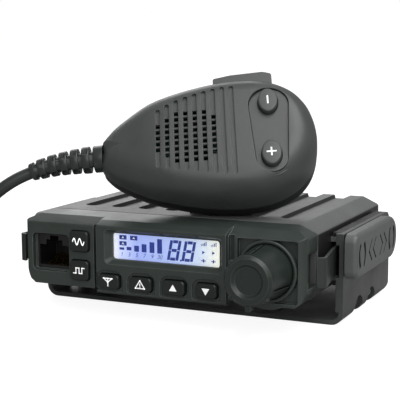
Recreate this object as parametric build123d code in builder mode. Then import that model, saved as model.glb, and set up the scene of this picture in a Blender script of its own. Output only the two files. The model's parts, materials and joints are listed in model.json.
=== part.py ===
"""A mobile transceiver with its palm microphone, in a quick-release bracket.

The frame: X to the right of the front panel, +Y from the front panel to the rear, +Z up.
The origin is the centre of the bracket's bolt pattern, on the underside of its base.
All sizes are in millimetres.
"""

import os
from math import cos, pi, radians, sin, tan

from build123d import *

os.makedirs("parts", exist_ok=True)

# ---- radio ----
CASE_HALF = 51.0  # half the width of the case
CASE_TOP = 34.4
CASE_FLOOR = 9.8
SHOULDER_X = 45.2  # where the flat top turns down to the sides
SHOULDER_Z = 31.7
FRONT_Y = -48.0  # face of the front panel's side sections
BLOCK_Y = -49.8  # face of the raised centre block
PARTING_Y = -37.0  # front panel to case
REAR_Y = 32.0
INSIDE_HALF = 48.2
INSIDE_TOP = 30.6
INSIDE_REAR = 29.0
GROOVE_PITCH = 10.6
GROOVE_WIDTH = 6.2
GROOVE_DEPTH = 1.3
RIB_OUT = 53.3  # outer face of the case's side ribs
RIB_LOW = (14.3, 15.9)
RIB_HIGH = (27.1, 28.7)
POSTS = [(side * 44.3, y) for side in (-1, 1) for y in (-29.5, 24.5)]
BOARD_Z = 22.0
BOARD_THICK = 1.6

# ---- front panel ----
INNER_Y = -44.5  # inside face of the front wall
BLOCK_X = (-22.0, 25.0)
BLOCK_FLOOR = 8.8
LCD_X = (-16.6, 22.2)
LCD_Z = (20.6, 29.3)
KEY_GAP = 0.25
KNOB_X = 38.2
KNOB_Z = 20.8
RING_R = 10.2
RING_FLOOR_Y = -46.2  # floor of the recess round the knob
KNOB_FRONT_Y = -64.5
JACK_X = (-47.3, -34.3)
JACK_Z = (15.0, 26.8)
JACK_FACE_Y = -46.0
# each key: middle x, middle z, width, height, front face y
KEYS = {
    "waveform_button": (-29.3, 25.5, 7.2, 7.0, -49.2),
    "squelch_button": (-29.3, 15.6, 7.2, 6.8, -49.2),
    "gain_button": (-17.3, 13.1, 8.0, 4.8, -50.7),
    "emergency_button": (-5.3, 13.1, 8.0, 4.8, -50.7),
    "channel_up_button": (6.7, 13.1, 8.0, 4.8, -50.7),
    "channel_down_button": (18.3, 13.1, 7.4, 4.8, -50.7),
}

# ---- bracket ----
ARM_OUT = 56.3
PLATE = 1.5
ARM_IN = ARM_OUT - PLATE
ARM_TOP = 30.3
ARM_FRONT = -26.6
ARM_REAR = 28.0
COVER_IN = 57.1
COVER_OUT = 61.3
COVER_Y = (-28.3, 20.6)
COVER_Z = (15.7, 30.5)
BOLT_X = 60.0
BOLT_Y = 36.0
BOLT_R = 2.3
NOTCHES_Y = (-8.5, 6.2)
RIVETS_Y = (-12.0, 4.0)
RIVET_Z = 21.5
RIVET_R = 1.3

# ---- release levers ----
LEVER_PIVOT = (52.3, -8.0)
LEVER_Z = (16.2, 25.8)
PIN_R = 0.75
KNUCKLE_R = 1.15

# ---- microphone: u along it, v up its face, w out of its face ----
MIC_FACE = 14.4  # front face above the parting plane
MIC_WAIST = 8.6  # where the front shell's crown starts
MIC_BACK = 7.6  # back face below the parting plane
MIC_WALL = 1.8
MIC_PLACE = Vector(15.9, -20.5, 55.0)  # middle of the parting plane
MIC_ELEVATION = 39.0  # how far the face looks up
MIC_TURN = 18.0  # how far the face turns about the vertical
MIC_ROLL = 6.0
MIC_TAIL = -45.0
# half of the outline, from the cord's end to the round end
MIC_HALF = [(MIC_TAIL, 5.2), (-40, 9.9), (-30, 15.8), (-22, 18.7), (-14, 20.9), (-4, 22.6),
            (6, 22.7), (14, 20.9), (21, 16.6), (25.7, 9.6), (27.5, 0)]
KEYPLATE = [(12.2, 8.3, 6.7), (12.2, -12.3, 5.3)]  # the circles whose hull is its outline
MIC_KEYS = {"mic_minus_button": (12.1, 9.4), "mic_plus_button": (12.1, -11.1)}
RELIEF_W = 2.0  # height of the cord's axis above the parting plane
HANG_AT = (-4.0, 2.0)  # the hang button on the back

# ---- cord ----
CORD_R = 2.1
COIL_R = 23.1  # middle of the coil's turns
COIL_HALF_WIDTH = 8.4
COIL_HEIGHT = 8.6
TIE = 0.6  # thickness of the tie, which the coil lies on
COIL_X = -124.0
COIL_Y = -27.0


def at_y(y):
    """A plane that faces forward at this depth: sketch x is X, sketch y is Z."""
    return Plane.XZ.offset(-y)


def at_x(x):
    """A plane that faces right at this width: sketch x is Y, sketch y is Z."""
    return Plane.YZ.offset(x)


def at_z(z):
    """A level plane at this height."""
    return Plane.XY.offset(z)


def block(x, y, z):
    """A plain block between three pairs of limits."""
    low = Vector(min(x), min(y), min(z))
    size = Vector(max(x), max(y), max(z)) - low
    return Solid.make_box(size.X, size.Y, size.Z, Plane(low))


def rod(start, direction, radius, length):
    """A plain round rod."""
    return Solid.make_cylinder(radius, length, Plane(origin=start, z_dir=direction))


def finish(shape, name):
    """Label one finished piece and write it."""
    shape.label = name
    export_step(shape, f"parts/{name}.step")


def finish_pair(solid, name):
    """Write a right-hand piece and its mirror image on the left."""
    finish(solid, f"{name}_right")
    finish(mirror(solid, about=Plane.YZ), f"{name}_left")


# ---- the microphone's directions ----


def turned_frame(elevation, turn, roll):
    """The directions u, v and w of a face that looks up, turned and rolled, in degrees."""
    e, t, r = radians(elevation), radians(turn), radians(roll)
    w = Vector(cos(e) * sin(t), -cos(e) * cos(t), sin(e))
    level = Vector(cos(t), sin(t), 0)
    upward = w.cross(level)
    return level * cos(r) + upward * sin(r), upward * cos(r) - level * sin(r), w


MIC_U, MIC_V, MIC_W = turned_frame(MIC_ELEVATION, MIC_TURN, MIC_ROLL)


def mic_point(u, v, w):
    """A point of the microphone in the row's frame."""
    return MIC_PLACE + MIC_U * u + MIC_V * v + MIC_W * w


def mic_level(w, u=0.0, v=0.0):
    """A plane parallel to the microphone's face: sketch x is u, sketch y is v."""
    return Plane(origin=mic_point(u, v, w), x_dir=MIC_U, z_dir=MIC_W)


def mic_side(v=0.0):
    """A plane along the microphone: sketch x is u, sketch y is w."""
    return Plane(origin=mic_point(0, v, 0), x_dir=MIC_U, z_dir=-MIC_V)


def mic_block(u, v, w):
    """A plain block in the microphone's directions."""
    low = mic_point(min(u), min(v), min(w))
    place = Plane(origin=low, x_dir=MIC_U, z_dir=MIC_W)
    return Solid.make_box(max(u) - min(u), max(v) - min(v), max(w) - min(w), place)


def mic_rod(u, v, low, high, radius):
    """A round rod along the microphone's face normal."""
    return rod(mic_point(u, v, low), MIC_W, radius, high - low)


# ---- the hanger: a foot and a slotted plate, folded from one strip ----

HANG_LEVEL, HANG_UP, HANG_OUT = turned_frame(MIC_ELEVATION, MIC_TURN, 0)
HANG_BACK = Vector(-HANG_OUT.X, -HANG_OUT.Y, 0).normalized()
HANGER_THICK = 1.4
HANGER_HALF = 11.0
hang_centre = mic_point(*HANG_AT, -9.0)  # on the front face of the hanger's plate
drop = (hang_centre.Z - CASE_TOP) / HANG_UP.Z
fold = hang_centre - HANG_UP * drop  # where the plate's front face meets the case's top
foot_plane = Plane(origin=fold, x_dir=HANG_BACK, z_dir=HANG_LEVEL)
lean = Vector(HANG_UP.dot(HANG_BACK), HANG_UP.Z)  # the plate's direction in that plane
plate_length = drop + 9.0
FOOT_LENGTH = 24.0
screw_places = [fold + HANG_BACK * 18.5 + HANG_LEVEL * side * 6.5 for side in (-1, 1)]

# ================================================================ bracket

with BuildPart() as bracket:
    with BuildSketch(at_y(ARM_REAR)):
        with Locations((0, 30)):
            outside = Rectangle(2 * ARM_OUT, 60)
        fillet(outside.vertices().group_by(Axis.Y)[0], 4.2)
        with Locations((0, 30 + PLATE)):
            inside = Rectangle(2 * ARM_IN, 60, mode=Mode.SUBTRACT)
    extrude(amount=ARM_REAR - ARM_FRONT)
    bend = bracket.edges().filter_by(Axis.Y).filter_by_position(Axis.Z, PLATE - 0.1, PLATE + 0.1)
    fillet(bend, 2.7)
    # the arms' height, with round corners at the rear
    with BuildSketch(at_x(-70)):
        with BuildLine():
            FilletPolyline((ARM_FRONT - 9, -1), (ARM_REAR, -1), (ARM_REAR, ARM_TOP),
                           (ARM_FRONT - 9, ARM_TOP), radius=[0.5, 5.0, 4.0, 0.5], close=True)
        make_face()
    extrude(amount=140, mode=Mode.INTERSECT)
    # arch notches through the bends
    with BuildSketch(at_x(-70)):
        for notch_y in NOTCHES_Y:
            with Locations((notch_y, 1.2)):
                SlotOverall(10.4, 9.2, rotation=90)
    extrude(amount=70 - 52.4, mode=Mode.SUBTRACT)
    with BuildSketch(at_x(52.4)):
        for notch_y in NOTCHES_Y:
            with Locations((notch_y, 1.2)):
                SlotOverall(10.4, 9.2, rotation=90)
    extrude(amount=10, mode=Mode.SUBTRACT)
    # holes for the mounting bolts, and a long lightening hole
    with BuildSketch(at_z(0)):
        with GridLocations(BOLT_X, BOLT_Y, 2, 2):
            Circle(BOLT_R)
        SlotOverall(36, 12)
    extrude(amount=PLATE, mode=Mode.SUBTRACT)
    # flanges folded in along the arms' front edges, open where the levers pass
    for side in (-1, 1):
        for low, high in ((4.4, 15.8), (26.6, ARM_TOP)):
            with BuildSketch(at_z(low)):
                with BuildLine():
                    Polyline((side * (ARM_OUT - 0.1), ARM_FRONT + 1.2),
                             (side * (ARM_OUT - 1.0), ARM_FRONT + 0.1),
                             (side * (ARM_OUT - 1.0), ARM_FRONT), (side * 53.7, ARM_FRONT),
                             (side * 53.7, ARM_FRONT + PLATE),
                             (side * (ARM_IN - 0.1), ARM_FRONT + PLATE + 0.7),
                             (side * (ARM_OUT - 0.1), ARM_FRONT + PLATE + 0.7), close=True)
                make_face()
            extrude(amount=high - low)
    # rivet holes for the rails and side covers
    with BuildSketch(at_x(-70)):
        with Locations(*[(y, RIVET_Z) for y in RIVETS_Y]):
            Circle(RIVET_R)
    extrude(amount=140, mode=Mode.SUBTRACT)
finish(bracket.part, "bracket")

# plastic channels inside the arms, in which the case's side ribs slide
with BuildPart() as guide_rail:
    with BuildSketch(at_y(25)):
        with BuildLine():
            Polyline((ARM_IN, 12.6), (51.6, 12.6), (51.6, 14.0), (53.75, 14.0), (53.75, 29.0),
                     (51.6, 29.0), (51.6, 30.2), (ARM_IN, 30.2), close=True)
        make_face()
    extrude(amount=25 + 23.5)
    with BuildSketch(at_x(50)):
        with Locations(*[(y, RIVET_Z) for y in RIVETS_Y]):
            Circle(RIVET_R)
    extrude(amount=6, mode=Mode.SUBTRACT)
finish_pair(guide_rail.part, "guide_rail")

# hollow covers outside the arms, with slots like a pair of brackets at each end
SLOT_BOW = 6.0
slot_arcs = []
for lens_y in (-22.2, 13.2):
    for turn, shift in ((180, -1.0), (0, 1.0)):
        middle = (lens_y + shift * 3.2 - shift * SLOT_BOW, 23.0)
        slot_arcs.append(CenterArc(middle, SLOT_BOW, turn - 33, 66))
CHEVRONS = [(-14.6, 1), (-9.8, 1), (1.6, -1), (6.4, -1)]  # tip's place and which way it opens
with BuildPart() as cover:
    with BuildSketch(at_x(COVER_IN)):
        with BuildLine():
            FilletPolyline((COVER_Y[0], COVER_Z[0]), (COVER_Y[1], COVER_Z[0]),
                           (COVER_Y[1], COVER_Z[1]), (COVER_Y[0], COVER_Z[1]),
                           radius=[3.0, 7.2, 7.2, 3.0], close=True)
        make_face()
    extrude(amount=COVER_OUT - COVER_IN)
    fillet(cover.faces().sort_by(Axis.X)[-1].edges(), 1.6)
    with BuildSketch(at_x(COVER_IN)):
        with BuildLine():
            FilletPolyline((COVER_Y[0] + 1.5, COVER_Z[0] + 1.5), (COVER_Y[1] - 1.5, COVER_Z[0] + 1.5),
                           (COVER_Y[1] - 1.5, COVER_Z[1] - 1.5), (COVER_Y[0] + 1.5, COVER_Z[1] - 1.5),
                           radius=[1.5, 5.7, 5.7, 1.5], close=True)
        make_face()
    extrude(amount=COVER_OUT - COVER_IN - 1.5, mode=Mode.SUBTRACT)
    # the posts that stand on the arm, bored for the rivets
    with BuildSketch(at_x(ARM_OUT)):
        with Locations(*[(y, RIVET_Z) for y in RIVETS_Y]):
            Circle(3.0)
    extrude(amount=COVER_OUT - ARM_OUT - 1.0)
    with BuildSketch(at_x(ARM_OUT)):
        with Locations(*[(y, RIVET_Z) for y in RIVETS_Y]):
            Circle(RIVET_R)
    extrude(amount=2.4, mode=Mode.SUBTRACT)
    with BuildSketch(at_x(COVER_IN - 0.2)):
        for arc in slot_arcs:
            SlotArc(arc, 1.8)
    extrude(amount=6, mode=Mode.SUBTRACT)
    with BuildSketch(at_x(COVER_OUT - 0.5)):
        for tip, way in CHEVRONS:
            with BuildLine():
                Polyline((tip + way * 3.4, 26.6), (tip, 23.0), (tip + way * 3.4, 19.4))
            trace(line_width=0.8)
    extrude(amount=1, mode=Mode.SUBTRACT)
finish_pair(cover.part, "bracket_cover")

# rivets through rail, arm and cover post
with BuildPart() as cover_rivets:
    for side in (-1, 1):
        for y in RIVETS_Y:
            add(rod((side * 53.8, y, RIVET_Z), (side, 0, 0), RIVET_R, 4.9))
finish(cover_rivets.part, "cover_rivets")

# ================================================================ release levers

# a flat spring-steel strip from the pin, out past the front panel, with its tip turned in
with BuildPart() as lever:
    with BuildSketch(at_z(LEVER_Z[0])):
        with BuildLine():
            FilletPolyline((LEVER_PIVOT[0] + 0.2, LEVER_PIVOT[1]), (52.6, -24.0), (53.1, -28.0),
                           (55.7, -43.4), (53.5, -44.1), radius=[9.0, 9.0, 0.9])
        trace(line_width=0.9)
        with Locations(LEVER_PIVOT):
            Circle(KNUCKLE_R)
            Circle(PIN_R + 0.06, mode=Mode.SUBTRACT)
    extrude(amount=LEVER_Z[1] - LEVER_Z[0])
    # the knuckle is open in the middle for the spring
    add(block((50, 55), (-9.7, -6), (19.0, 23.0)), mode=Mode.SUBTRACT)
finish_pair(lever.part, "release_lever")

with BuildPart() as lever_pins:
    for side in (-1, 1):
        add(rod((side * LEVER_PIVOT[0], LEVER_PIVOT[1], RIB_LOW[0]), (0, 0, 1), PIN_R,
                RIB_HIGH[1] - RIB_LOW[0]))
finish(lever_pins.part, "lever_pins")

# torsion springs round the pins
with BuildPart() as lever_springs:
    for side in (-1, 1):
        with BuildLine():
            coil = Helix(pitch=0.6, height=3.0, radius=0.95,
                         center=(side * LEVER_PIVOT[0], LEVER_PIVOT[1], 19.5))
        with BuildSketch(Plane(origin=coil @ 0, z_dir=coil % 0)):
            Circle(0.16)
        sweep(is_frenet=True)
finish(lever_springs.part, "lever_springs")

# ================================================================ radio case

CASE_OUTLINE = [(-49.2, 11.2), (-47.4, CASE_FLOOR), (47.4, CASE_FLOOR), (49.2, 11.2), (CASE_HALF, 15.4),
                (CASE_HALF, SHOULDER_Z), (SHOULDER_X, CASE_TOP), (-SHOULDER_X, CASE_TOP),
                (-CASE_HALF, SHOULDER_Z), (-CASE_HALF, 15.4)]
CASE_RADII = [1.0, 0.8, 0.8, 1.0, 1.5, 1.2, 2.0, 2.0, 1.2, 1.5]
ANTENNA_AT = (30.0, 21.5)
INLET_AT = (-33.0, 20.0)
SPEAKER_JACK_AT = (-12.0, 20.0)

with BuildPart() as chassis:
    with BuildSketch(at_y(REAR_Y)):
        with BuildLine():
            FilletPolyline(*CASE_OUTLINE, radius=CASE_RADII, close=True)
        make_face()
    extrude(amount=REAR_Y - PARTING_Y)
    # hollow, open in front and below
    add(block((-INSIDE_HALF, INSIDE_HALF), (PARTING_Y - 1, INSIDE_REAR), (11.6, INSIDE_TOP)),
        mode=Mode.SUBTRACT)
    add(block((-46.6, 46.6), (PARTING_Y - 1, INSIDE_REAR), (CASE_FLOOR - 1, 12)), mode=Mode.SUBTRACT)
    # shadow line behind the front panel
    with BuildSketch(at_y(PARTING_Y + 0.4)):
        with BuildLine():
            FilletPolyline(*CASE_OUTLINE, radius=CASE_RADII, close=True)
        case_face = make_face()
        offset(amount=0.5)
        offset(case_face, amount=-0.35, mode=Mode.SUBTRACT)
    extrude(amount=0.5, mode=Mode.SUBTRACT)
    # screw posts
    with BuildSketch(at_z(11.2)):
        with Locations(*POSTS):
            Circle(3.2)
    extrude(amount=INSIDE_TOP - 11.0)
    # cooling grooves along the top
    for i in range(8):
        with BuildSketch(at_z(CASE_TOP - GROOVE_DEPTH)):
            with Locations(((i - 3.5) * GROOVE_PITCH, (REAR_Y - 27) / 2 + 4)):
                SlotOverall(REAR_Y + 27 + 8, GROOVE_WIDTH - 0.8, rotation=90)
        extrude(amount=GROOVE_DEPTH + 0.1, taper=-16, mode=Mode.SUBTRACT)
    # side ribs, which slide in the guide rails and hold the lever pins
    for side in (-1, 1):
        for low, high in (RIB_LOW, RIB_HIGH):
            add(block((side * 50.5, side * RIB_OUT), (-23.5, 30), (low, high)))
        add(rod((side * LEVER_PIVOT[0], LEVER_PIVOT[1], 14), (0, 0, 1), PIN_R, 15),
            mode=Mode.SUBTRACT)
    # holes for the screws, in the posts and for the microphone's hanger
    with BuildSketch(at_z(CASE_FLOOR)):
        with Locations(*POSTS):
            Circle(1.2)
    extrude(amount=12, mode=Mode.SUBTRACT)
    for place in screw_places:
        add(rod(Vector(place.X, place.Y, 31.2), (0, 0, 1), 1.25, 6), mode=Mode.SUBTRACT)
    # rear sockets
    with BuildSketch(at_y(REAR_Y + 1)):
        with Locations(ANTENNA_AT):
            Circle(5.0)
        with Locations(INLET_AT):
            Rectangle(16, 10)
        with Locations(SPEAKER_JACK_AT):
            Circle(3.5)
    extrude(amount=6, mode=Mode.SUBTRACT)
finish(chassis.part, "chassis")

SPEAKER_AT = (-16.0, -8.0)
with BuildPart() as bottom_cover:
    add(block((-46.4, 46.4), (PARTING_Y + 0.2, INSIDE_REAR - 0.2), (CASE_FLOOR + 0.2, 11.2)))
    with BuildSketch(at_z(CASE_FLOOR)):
        with Locations(*POSTS):
            Circle(1.4)
        with Locations(SPEAKER_AT):
            Circle(1.1)
            for ring, count in ((4, 6), (8, 12), (12, 18)):
                with PolarLocations(ring, count):
                    Circle(1.1)
    extrude(amount=2, mode=Mode.SUBTRACT)
finish(bottom_cover.part, "bottom_cover")

with BuildPart() as bottom_screws:
    for x, y in POSTS:
        add(rod((x, y, CASE_FLOOR - 1.0), (0, 0, 1), 2.2, 1.2))
        add(rod((x, y, CASE_FLOOR + 0.1), (0, 0, 1), 1.2, 8))
finish(bottom_screws.part, "bottom_screws")

# ================================================================ front panel

RECESS_X = (28.1, 48.4)  # square recess round the knob
RECESS_Z = (10.8, 30.8)


def rounded(x, z, radius):
    """A rounded rectangle between these limits, for the sketch in hand."""
    with Locations((sum(x) / 2, sum(z) / 2)):
        RectangleRounded(x[1] - x[0], z[1] - z[0], radius)


with BuildPart() as front_bezel:
    # the side sections: their profile, cut to the case's outline and to the plan
    with BuildSketch(at_x(-CASE_HALF)):
        with BuildLine():
            FilletPolyline((PARTING_Y, CASE_TOP), (-43.4, 33.5), (FRONT_Y, 31.0),
                           (FRONT_Y, CASE_FLOOR), (PARTING_Y, CASE_FLOOR),
                           radius=[0.1, 0.8, 0.8, 0.8, 0.1], close=True)
        make_face()
    extrude(amount=2 * CASE_HALF)
    with BuildSketch(at_y(PARTING_Y)):
        with BuildLine():
            FilletPolyline(*CASE_OUTLINE, radius=CASE_RADII, close=True)
        make_face()
    extrude(amount=PARTING_Y - FRONT_Y, mode=Mode.INTERSECT)
    with BuildSketch(at_z(0)):
        with BuildLine():
            FilletPolyline((-CASE_HALF, -30), (-CASE_HALF, FRONT_Y), (CASE_HALF, FRONT_Y),
                           (CASE_HALF, -30), radius=[0.5, 1.6, 3.4, 0.5], close=True)
        make_face()
    extrude(amount=40, mode=Mode.INTERSECT)
    # the raised centre block, which takes the place of the middle
    add(block(BLOCK_X, (-60, -20), (0, 50)), mode=Mode.SUBTRACT)
    with BuildSketch(at_x(BLOCK_X[0])):
        with BuildLine():
            FilletPolyline((PARTING_Y, CASE_TOP), (-46.2, 33.2), (BLOCK_Y, 31.6), (BLOCK_Y, BLOCK_FLOOR),
                           (-44.6, BLOCK_FLOOR), (-42.6, CASE_FLOOR), (PARTING_Y, CASE_FLOOR),
                           radius=[0.1, 0.8, 0.8, 0.8, 1.0, 1.0, 0.1], close=True)
        make_face()
    extrude(amount=BLOCK_X[1] - BLOCK_X[0])
    # the bulge under the knob
    with BuildSketch(at_y(-43.4)):
        with Locations((KNOB_X, KNOB_Z)):
            Circle(12.2)
        with Locations((KNOB_X, 30)):
            Rectangle(40, 2 * (30 - CASE_FLOOR - 0.6), mode=Mode.SUBTRACT)
    extrude(amount=-43.4 - FRONT_Y)
    # hollow behind the front wall
    add(block((-46.4, 46.4), (INNER_Y, PARTING_Y + 1), (11.2, 30.9)), mode=Mode.SUBTRACT)
    add(block((BLOCK_X[0], BLOCK_X[1] - 2.0), (INNER_Y, -42.6), (10.0, 12)), mode=Mode.SUBTRACT)
    # shadow grooves beside the centre block
    for x in (BLOCK_X[0] - 1.0, BLOCK_X[1] + 1.2):
        add(block((x - 1.0, x + 1.0), (FRONT_Y - 1, FRONT_Y + 1.4), (CASE_FLOOR - 1, 31.4)),
            mode=Mode.SUBTRACT)
    # finger room in both sides, for the release levers' tips
    for side in (-1, 1):
        add(block((side * 48.6, side * 52), (-45.4, PARTING_Y + 1), (15.6, 26.6)), mode=Mode.SUBTRACT)
    # recess and ring seat round the knob
    with BuildSketch(at_y(RING_FLOOR_Y)):
        rounded(RECESS_X, RECESS_Z, 0.8)
    extrude(amount=4, mode=Mode.SUBTRACT)
    with BuildSketch(at_y(PARTING_Y)):
        with Locations((KNOB_X, KNOB_Z)):
            Circle(3.6)
    extrude(amount=12, mode=Mode.SUBTRACT)
    # microphone socket
    with BuildSketch(at_y(JACK_FACE_Y)):
        rounded((-48.2, -33.7), (14.3, 27.3), 1.6)
    extrude(amount=4, mode=Mode.SUBTRACT)
    with BuildSketch(at_y(PARTING_Y + 1)):
        rounded((JACK_X[0] - 0.1, JACK_X[1] + 0.1), (JACK_Z[0] - 0.1, JACK_Z[1] + 0.1), 0.3)
    extrude(amount=12, mode=Mode.SUBTRACT)
    # display opening with sloped sides, and its seat behind
    with BuildSketch(at_y(BLOCK_Y - 0.01)):
        rounded((LCD_X[0] - 2.4, LCD_X[1] + 1.4), (LCD_Z[0] - 1.7, LCD_Z[1] + 1.3), 1.6)
    with BuildSketch(at_y(-48.3)):
        rounded((LCD_X[0] - 0.4, LCD_X[1] + 0.4), (LCD_Z[0] - 0.3, LCD_Z[1] + 0.3), 1.2)
    loft(mode=Mode.SUBTRACT)
    with BuildSketch(at_y(-48.5)):
        rounded(LCD_X, LCD_Z, 1.0)
    extrude(amount=-1.5, mode=Mode.SUBTRACT)
    add(block((LCD_X[0] - 1, LCD_X[1] + 1), (-47.5, INNER_Y + 1), (LCD_Z[0] - 1, LCD_Z[1] + 1)),
        mode=Mode.SUBTRACT)
    # arched pockets round the four lower keys
    with BuildSketch(at_y(BLOCK_Y + 0.7)):
        for name, (x, z, width, height, face) in KEYS.items():
            if face < BLOCK_Y:
                with BuildLine():
                    FilletPolyline((x - 5.2, BLOCK_FLOOR + 1.0), (x + 5.2, BLOCK_FLOOR + 1.0),
                                   (x + 5.2, 17.0), (x - 5.2, 17.0), radius=[0.6, 0.6, 3.4, 3.4],
                                   close=True)
                make_face()
    extrude(amount=2, mode=Mode.SUBTRACT)
    # holes for all the keys
    with BuildSketch(at_y(INNER_Y + 0.1)):
        for x, z, width, height, face in KEYS.values():
            with Locations((x, z)):
                RectangleRounded(width + 2 * KEY_GAP, height + 2 * KEY_GAP, 1.5)
    extrude(amount=6, mode=Mode.SUBTRACT)
finish(front_bezel.part, "front_bezel")

# keycaps, each with a flange that keeps it behind the front wall
for name, (x, z, width, height, face) in KEYS.items():
    with BuildPart() as key:
        with BuildSketch(at_y(INNER_Y + 0.2)):
            with Locations((x, z)):
                RectangleRounded(width, height, 1.3)
        extrude(amount=INNER_Y + 0.2 - face)
        fillet(key.faces().sort_by(Axis.Y)[0].edges(), 0.6)
        with BuildSketch(at_y(INNER_Y + 1.1)):
            with Locations((x, z)):
                Rectangle(width + 1.1, height + 0.9)
        extrude(amount=0.9)
    finish(key.part, name)

with BuildPart() as keypad_mat:
    add(block((-34.2, -24.9), (-42.0, -41.5), (11.4, 30.4)))
    add(block((-25.0, 22.7), (-42.0, -41.5), (11.4, 16.2)))
    with BuildSketch(at_y(-41.9)):
        for x, z, width, height, face in KEYS.values():
            with Locations((x, max(z, 13.6))):
                Circle(2.0)
    extrude(amount=0.6, taper=20)
finish(keypad_mat.part, "keypad_mat")

with BuildPart() as front_board:
    add(block((-33.4, 45.6), (-41.4, -40.0), (11.6, 30.5)))
finish(front_board.part, "front_board")

with BuildPart() as lcd_window:
    with BuildSketch(at_y(-46.5)):
        rounded((LCD_X[0] - 0.9, LCD_X[1] + 0.9), (LCD_Z[0] - 0.9, LCD_Z[1] + 0.9), 0.3)
    extrude(amount=1.0)
finish(lcd_window.part, "lcd_window")

with BuildPart() as lcd_panel:
    add(block((LCD_X[0] - 0.9, LCD_X[1] + 0.9), (-46.4, -44.8), (LCD_Z[0] - 0.9, LCD_Z[1] + 0.9)))
finish(lcd_panel.part, "lcd_panel")

with BuildPart() as lcd_backlight:
    add(block((LCD_X[0] - 0.8, LCD_X[1] + 0.8), (-44.7, -42.4), (LCD_Z[0] - 0.8, LCD_Z[1] + 0.8)))
finish(lcd_backlight.part, "lcd_backlight")

# eight-way modular socket, its latch notch upwards
JACK_MIDDLE = sum(JACK_X) / 2
with BuildPart() as mic_socket:
    add(block(JACK_X, (JACK_FACE_Y, -33.0), JACK_Z))
    with BuildSketch(at_y(JACK_FACE_Y + 10.5)):
        with Locations((JACK_MIDDLE, 19.5)):
            Rectangle(11.7, 7.0)
        with Locations((JACK_MIDDLE, 23.6)):
            Rectangle(6.4, 2.4)
        with Locations((JACK_MIDDLE, 25.0)):
            Rectangle(3.4, 2.4)
    extrude(amount=12, mode=Mode.SUBTRACT)
    with BuildSketch(at_y(JACK_FACE_Y + 9.6)):
        for i in range(8):
            with Locations((JACK_MIDDLE + (i - 3.5) * 1.02, 15.6)):
                Rectangle(0.6, 1.2)
    extrude(amount=8.4, mode=Mode.SUBTRACT)
finish(mic_socket.part, "mic_socket")

with BuildPart() as mic_socket_contacts:
    for i in range(8):
        x = JACK_MIDDLE + (i - 3.5) * 1.02
        with BuildSketch(at_x(x - 0.22)):
            with BuildLine():
                Polyline((-45.0, 15.5), (-37.0, 18.2), (-37.0, 18.7), (-45.2, 15.9), close=True)
            make_face()
        extrude(amount=0.44)
finish(mic_socket_contacts.part, "mic_socket_contacts")

# ================================================================ volume knob

with BuildPart() as knob_ring:
    with BuildSketch(at_y(RING_FLOOR_Y)):
        with Locations((KNOB_X, KNOB_Z)):
            Circle(RING_R - 0.25)
            Circle(8.9, mode=Mode.SUBTRACT)
    extrude(amount=2.4)
    fillet(knob_ring.faces().sort_by(Axis.Y)[0].edges(), 0.4)
finish(knob_ring.part, "knob_ring")

with BuildPart() as volume_knob:
    with BuildSketch(at_x(KNOB_X)):
        with BuildLine():
            Polyline((-46.6, KNOB_Z), (-46.6, KNOB_Z + 8.6), (-48.6, KNOB_Z + 8.6),
                     (-60.4, KNOB_Z + 7.5), (-61.0, KNOB_Z + 7.9), (-63.6, KNOB_Z + 7.9),
                     (KNOB_FRONT_Y, KNOB_Z + 7.0), (KNOB_FRONT_Y, KNOB_Z + 5.3),
                     (KNOB_FRONT_Y + 0.9, KNOB_Z + 4.3), (KNOB_FRONT_Y + 0.9, KNOB_Z), close=True)
        make_face()
    revolve(axis=Axis((KNOB_X, 0, KNOB_Z), (0, 1, 0)))
    # three grip grooves along the barrel
    with BuildSketch(at_y(-46.9)):
        with Locations((KNOB_X, KNOB_Z)):
            with PolarLocations(8.0, 3, start_angle=95):
                Rectangle(2.8, 1.0)
    extrude(amount=13.8, mode=Mode.SUBTRACT)
    # pointer and three thumb bumps round the front flange
    with BuildSketch(at_y(-61.2)):
        with Locations((KNOB_X, KNOB_Z - 8.3)):
            RectangleRounded(1.8, 2.2, 0.5)
        for angle in (-45, 135, 225):
            with Locations((KNOB_X + 7.6 * cos(radians(angle)), KNOB_Z + 7.6 * sin(radians(angle)))):
                Circle(0.8)
    extrude(amount=2.6)
    # bore for the shaft
    with BuildSketch(at_y(-45.9)):
        with Locations((KNOB_X, KNOB_Z)):
            Circle(3.02)
    extrude(amount=9, mode=Mode.SUBTRACT)
finish(volume_knob.part, "volume_knob")

with BuildPart() as control_shaft:
    add(rod((KNOB_X, -42.0, KNOB_Z), (0, -1, 0), 3.0, 12.6))
finish(control_shaft.part, "control_shaft")

with BuildPart() as volume_control:
    add(rod((KNOB_X, -41.5, KNOB_Z), (0, -1, 0), 5.5, 2.9))
    add(rod((KNOB_X, -43.0, KNOB_Z), (0, -1, 0), 3.5, 2.8))
    add(rod((KNOB_X, -41.9, KNOB_Z), (0, -1, 0), 3.06, 6), mode=Mode.SUBTRACT)
finish(volume_control.part, "volume_control")

# ================================================================ inside the case

with BuildPart() as main_board:
    add(block((-40.5, 40.5), (-31.0, 17.0), (BOARD_Z, BOARD_Z + BOARD_THICK)))
finish(main_board.part, "main_board")

CHIPS = [(-26, -22, 12, 12, 1.6), (-6, -24, 8, 8, 1.6), (4, -12, 14, 6, 2.0), (26, -24, 7, 5, 1.4),
         (-30, 4, 5, 9, 1.8)]  # x, y, length, width, height
CANS = [(30, -4, 3.2, 5.6), (22, 8, 3.2, 5.6), (34, 9, 2.4, 5.0), (-12, 8, 4.0, 6.0)]
with BuildPart() as board_parts:
    for x, y, length, width, height in CHIPS:
        add(block((x - length / 2, x + length / 2), (y - width / 2, y + width / 2),
                  (BOARD_Z + BOARD_THICK, BOARD_Z + BOARD_THICK + height)))
    for x, y, radius, height in CANS:
        add(rod((x, y, BOARD_Z + BOARD_THICK), (0, 0, 1), radius, height))
finish(board_parts.part, "board_parts")

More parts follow.
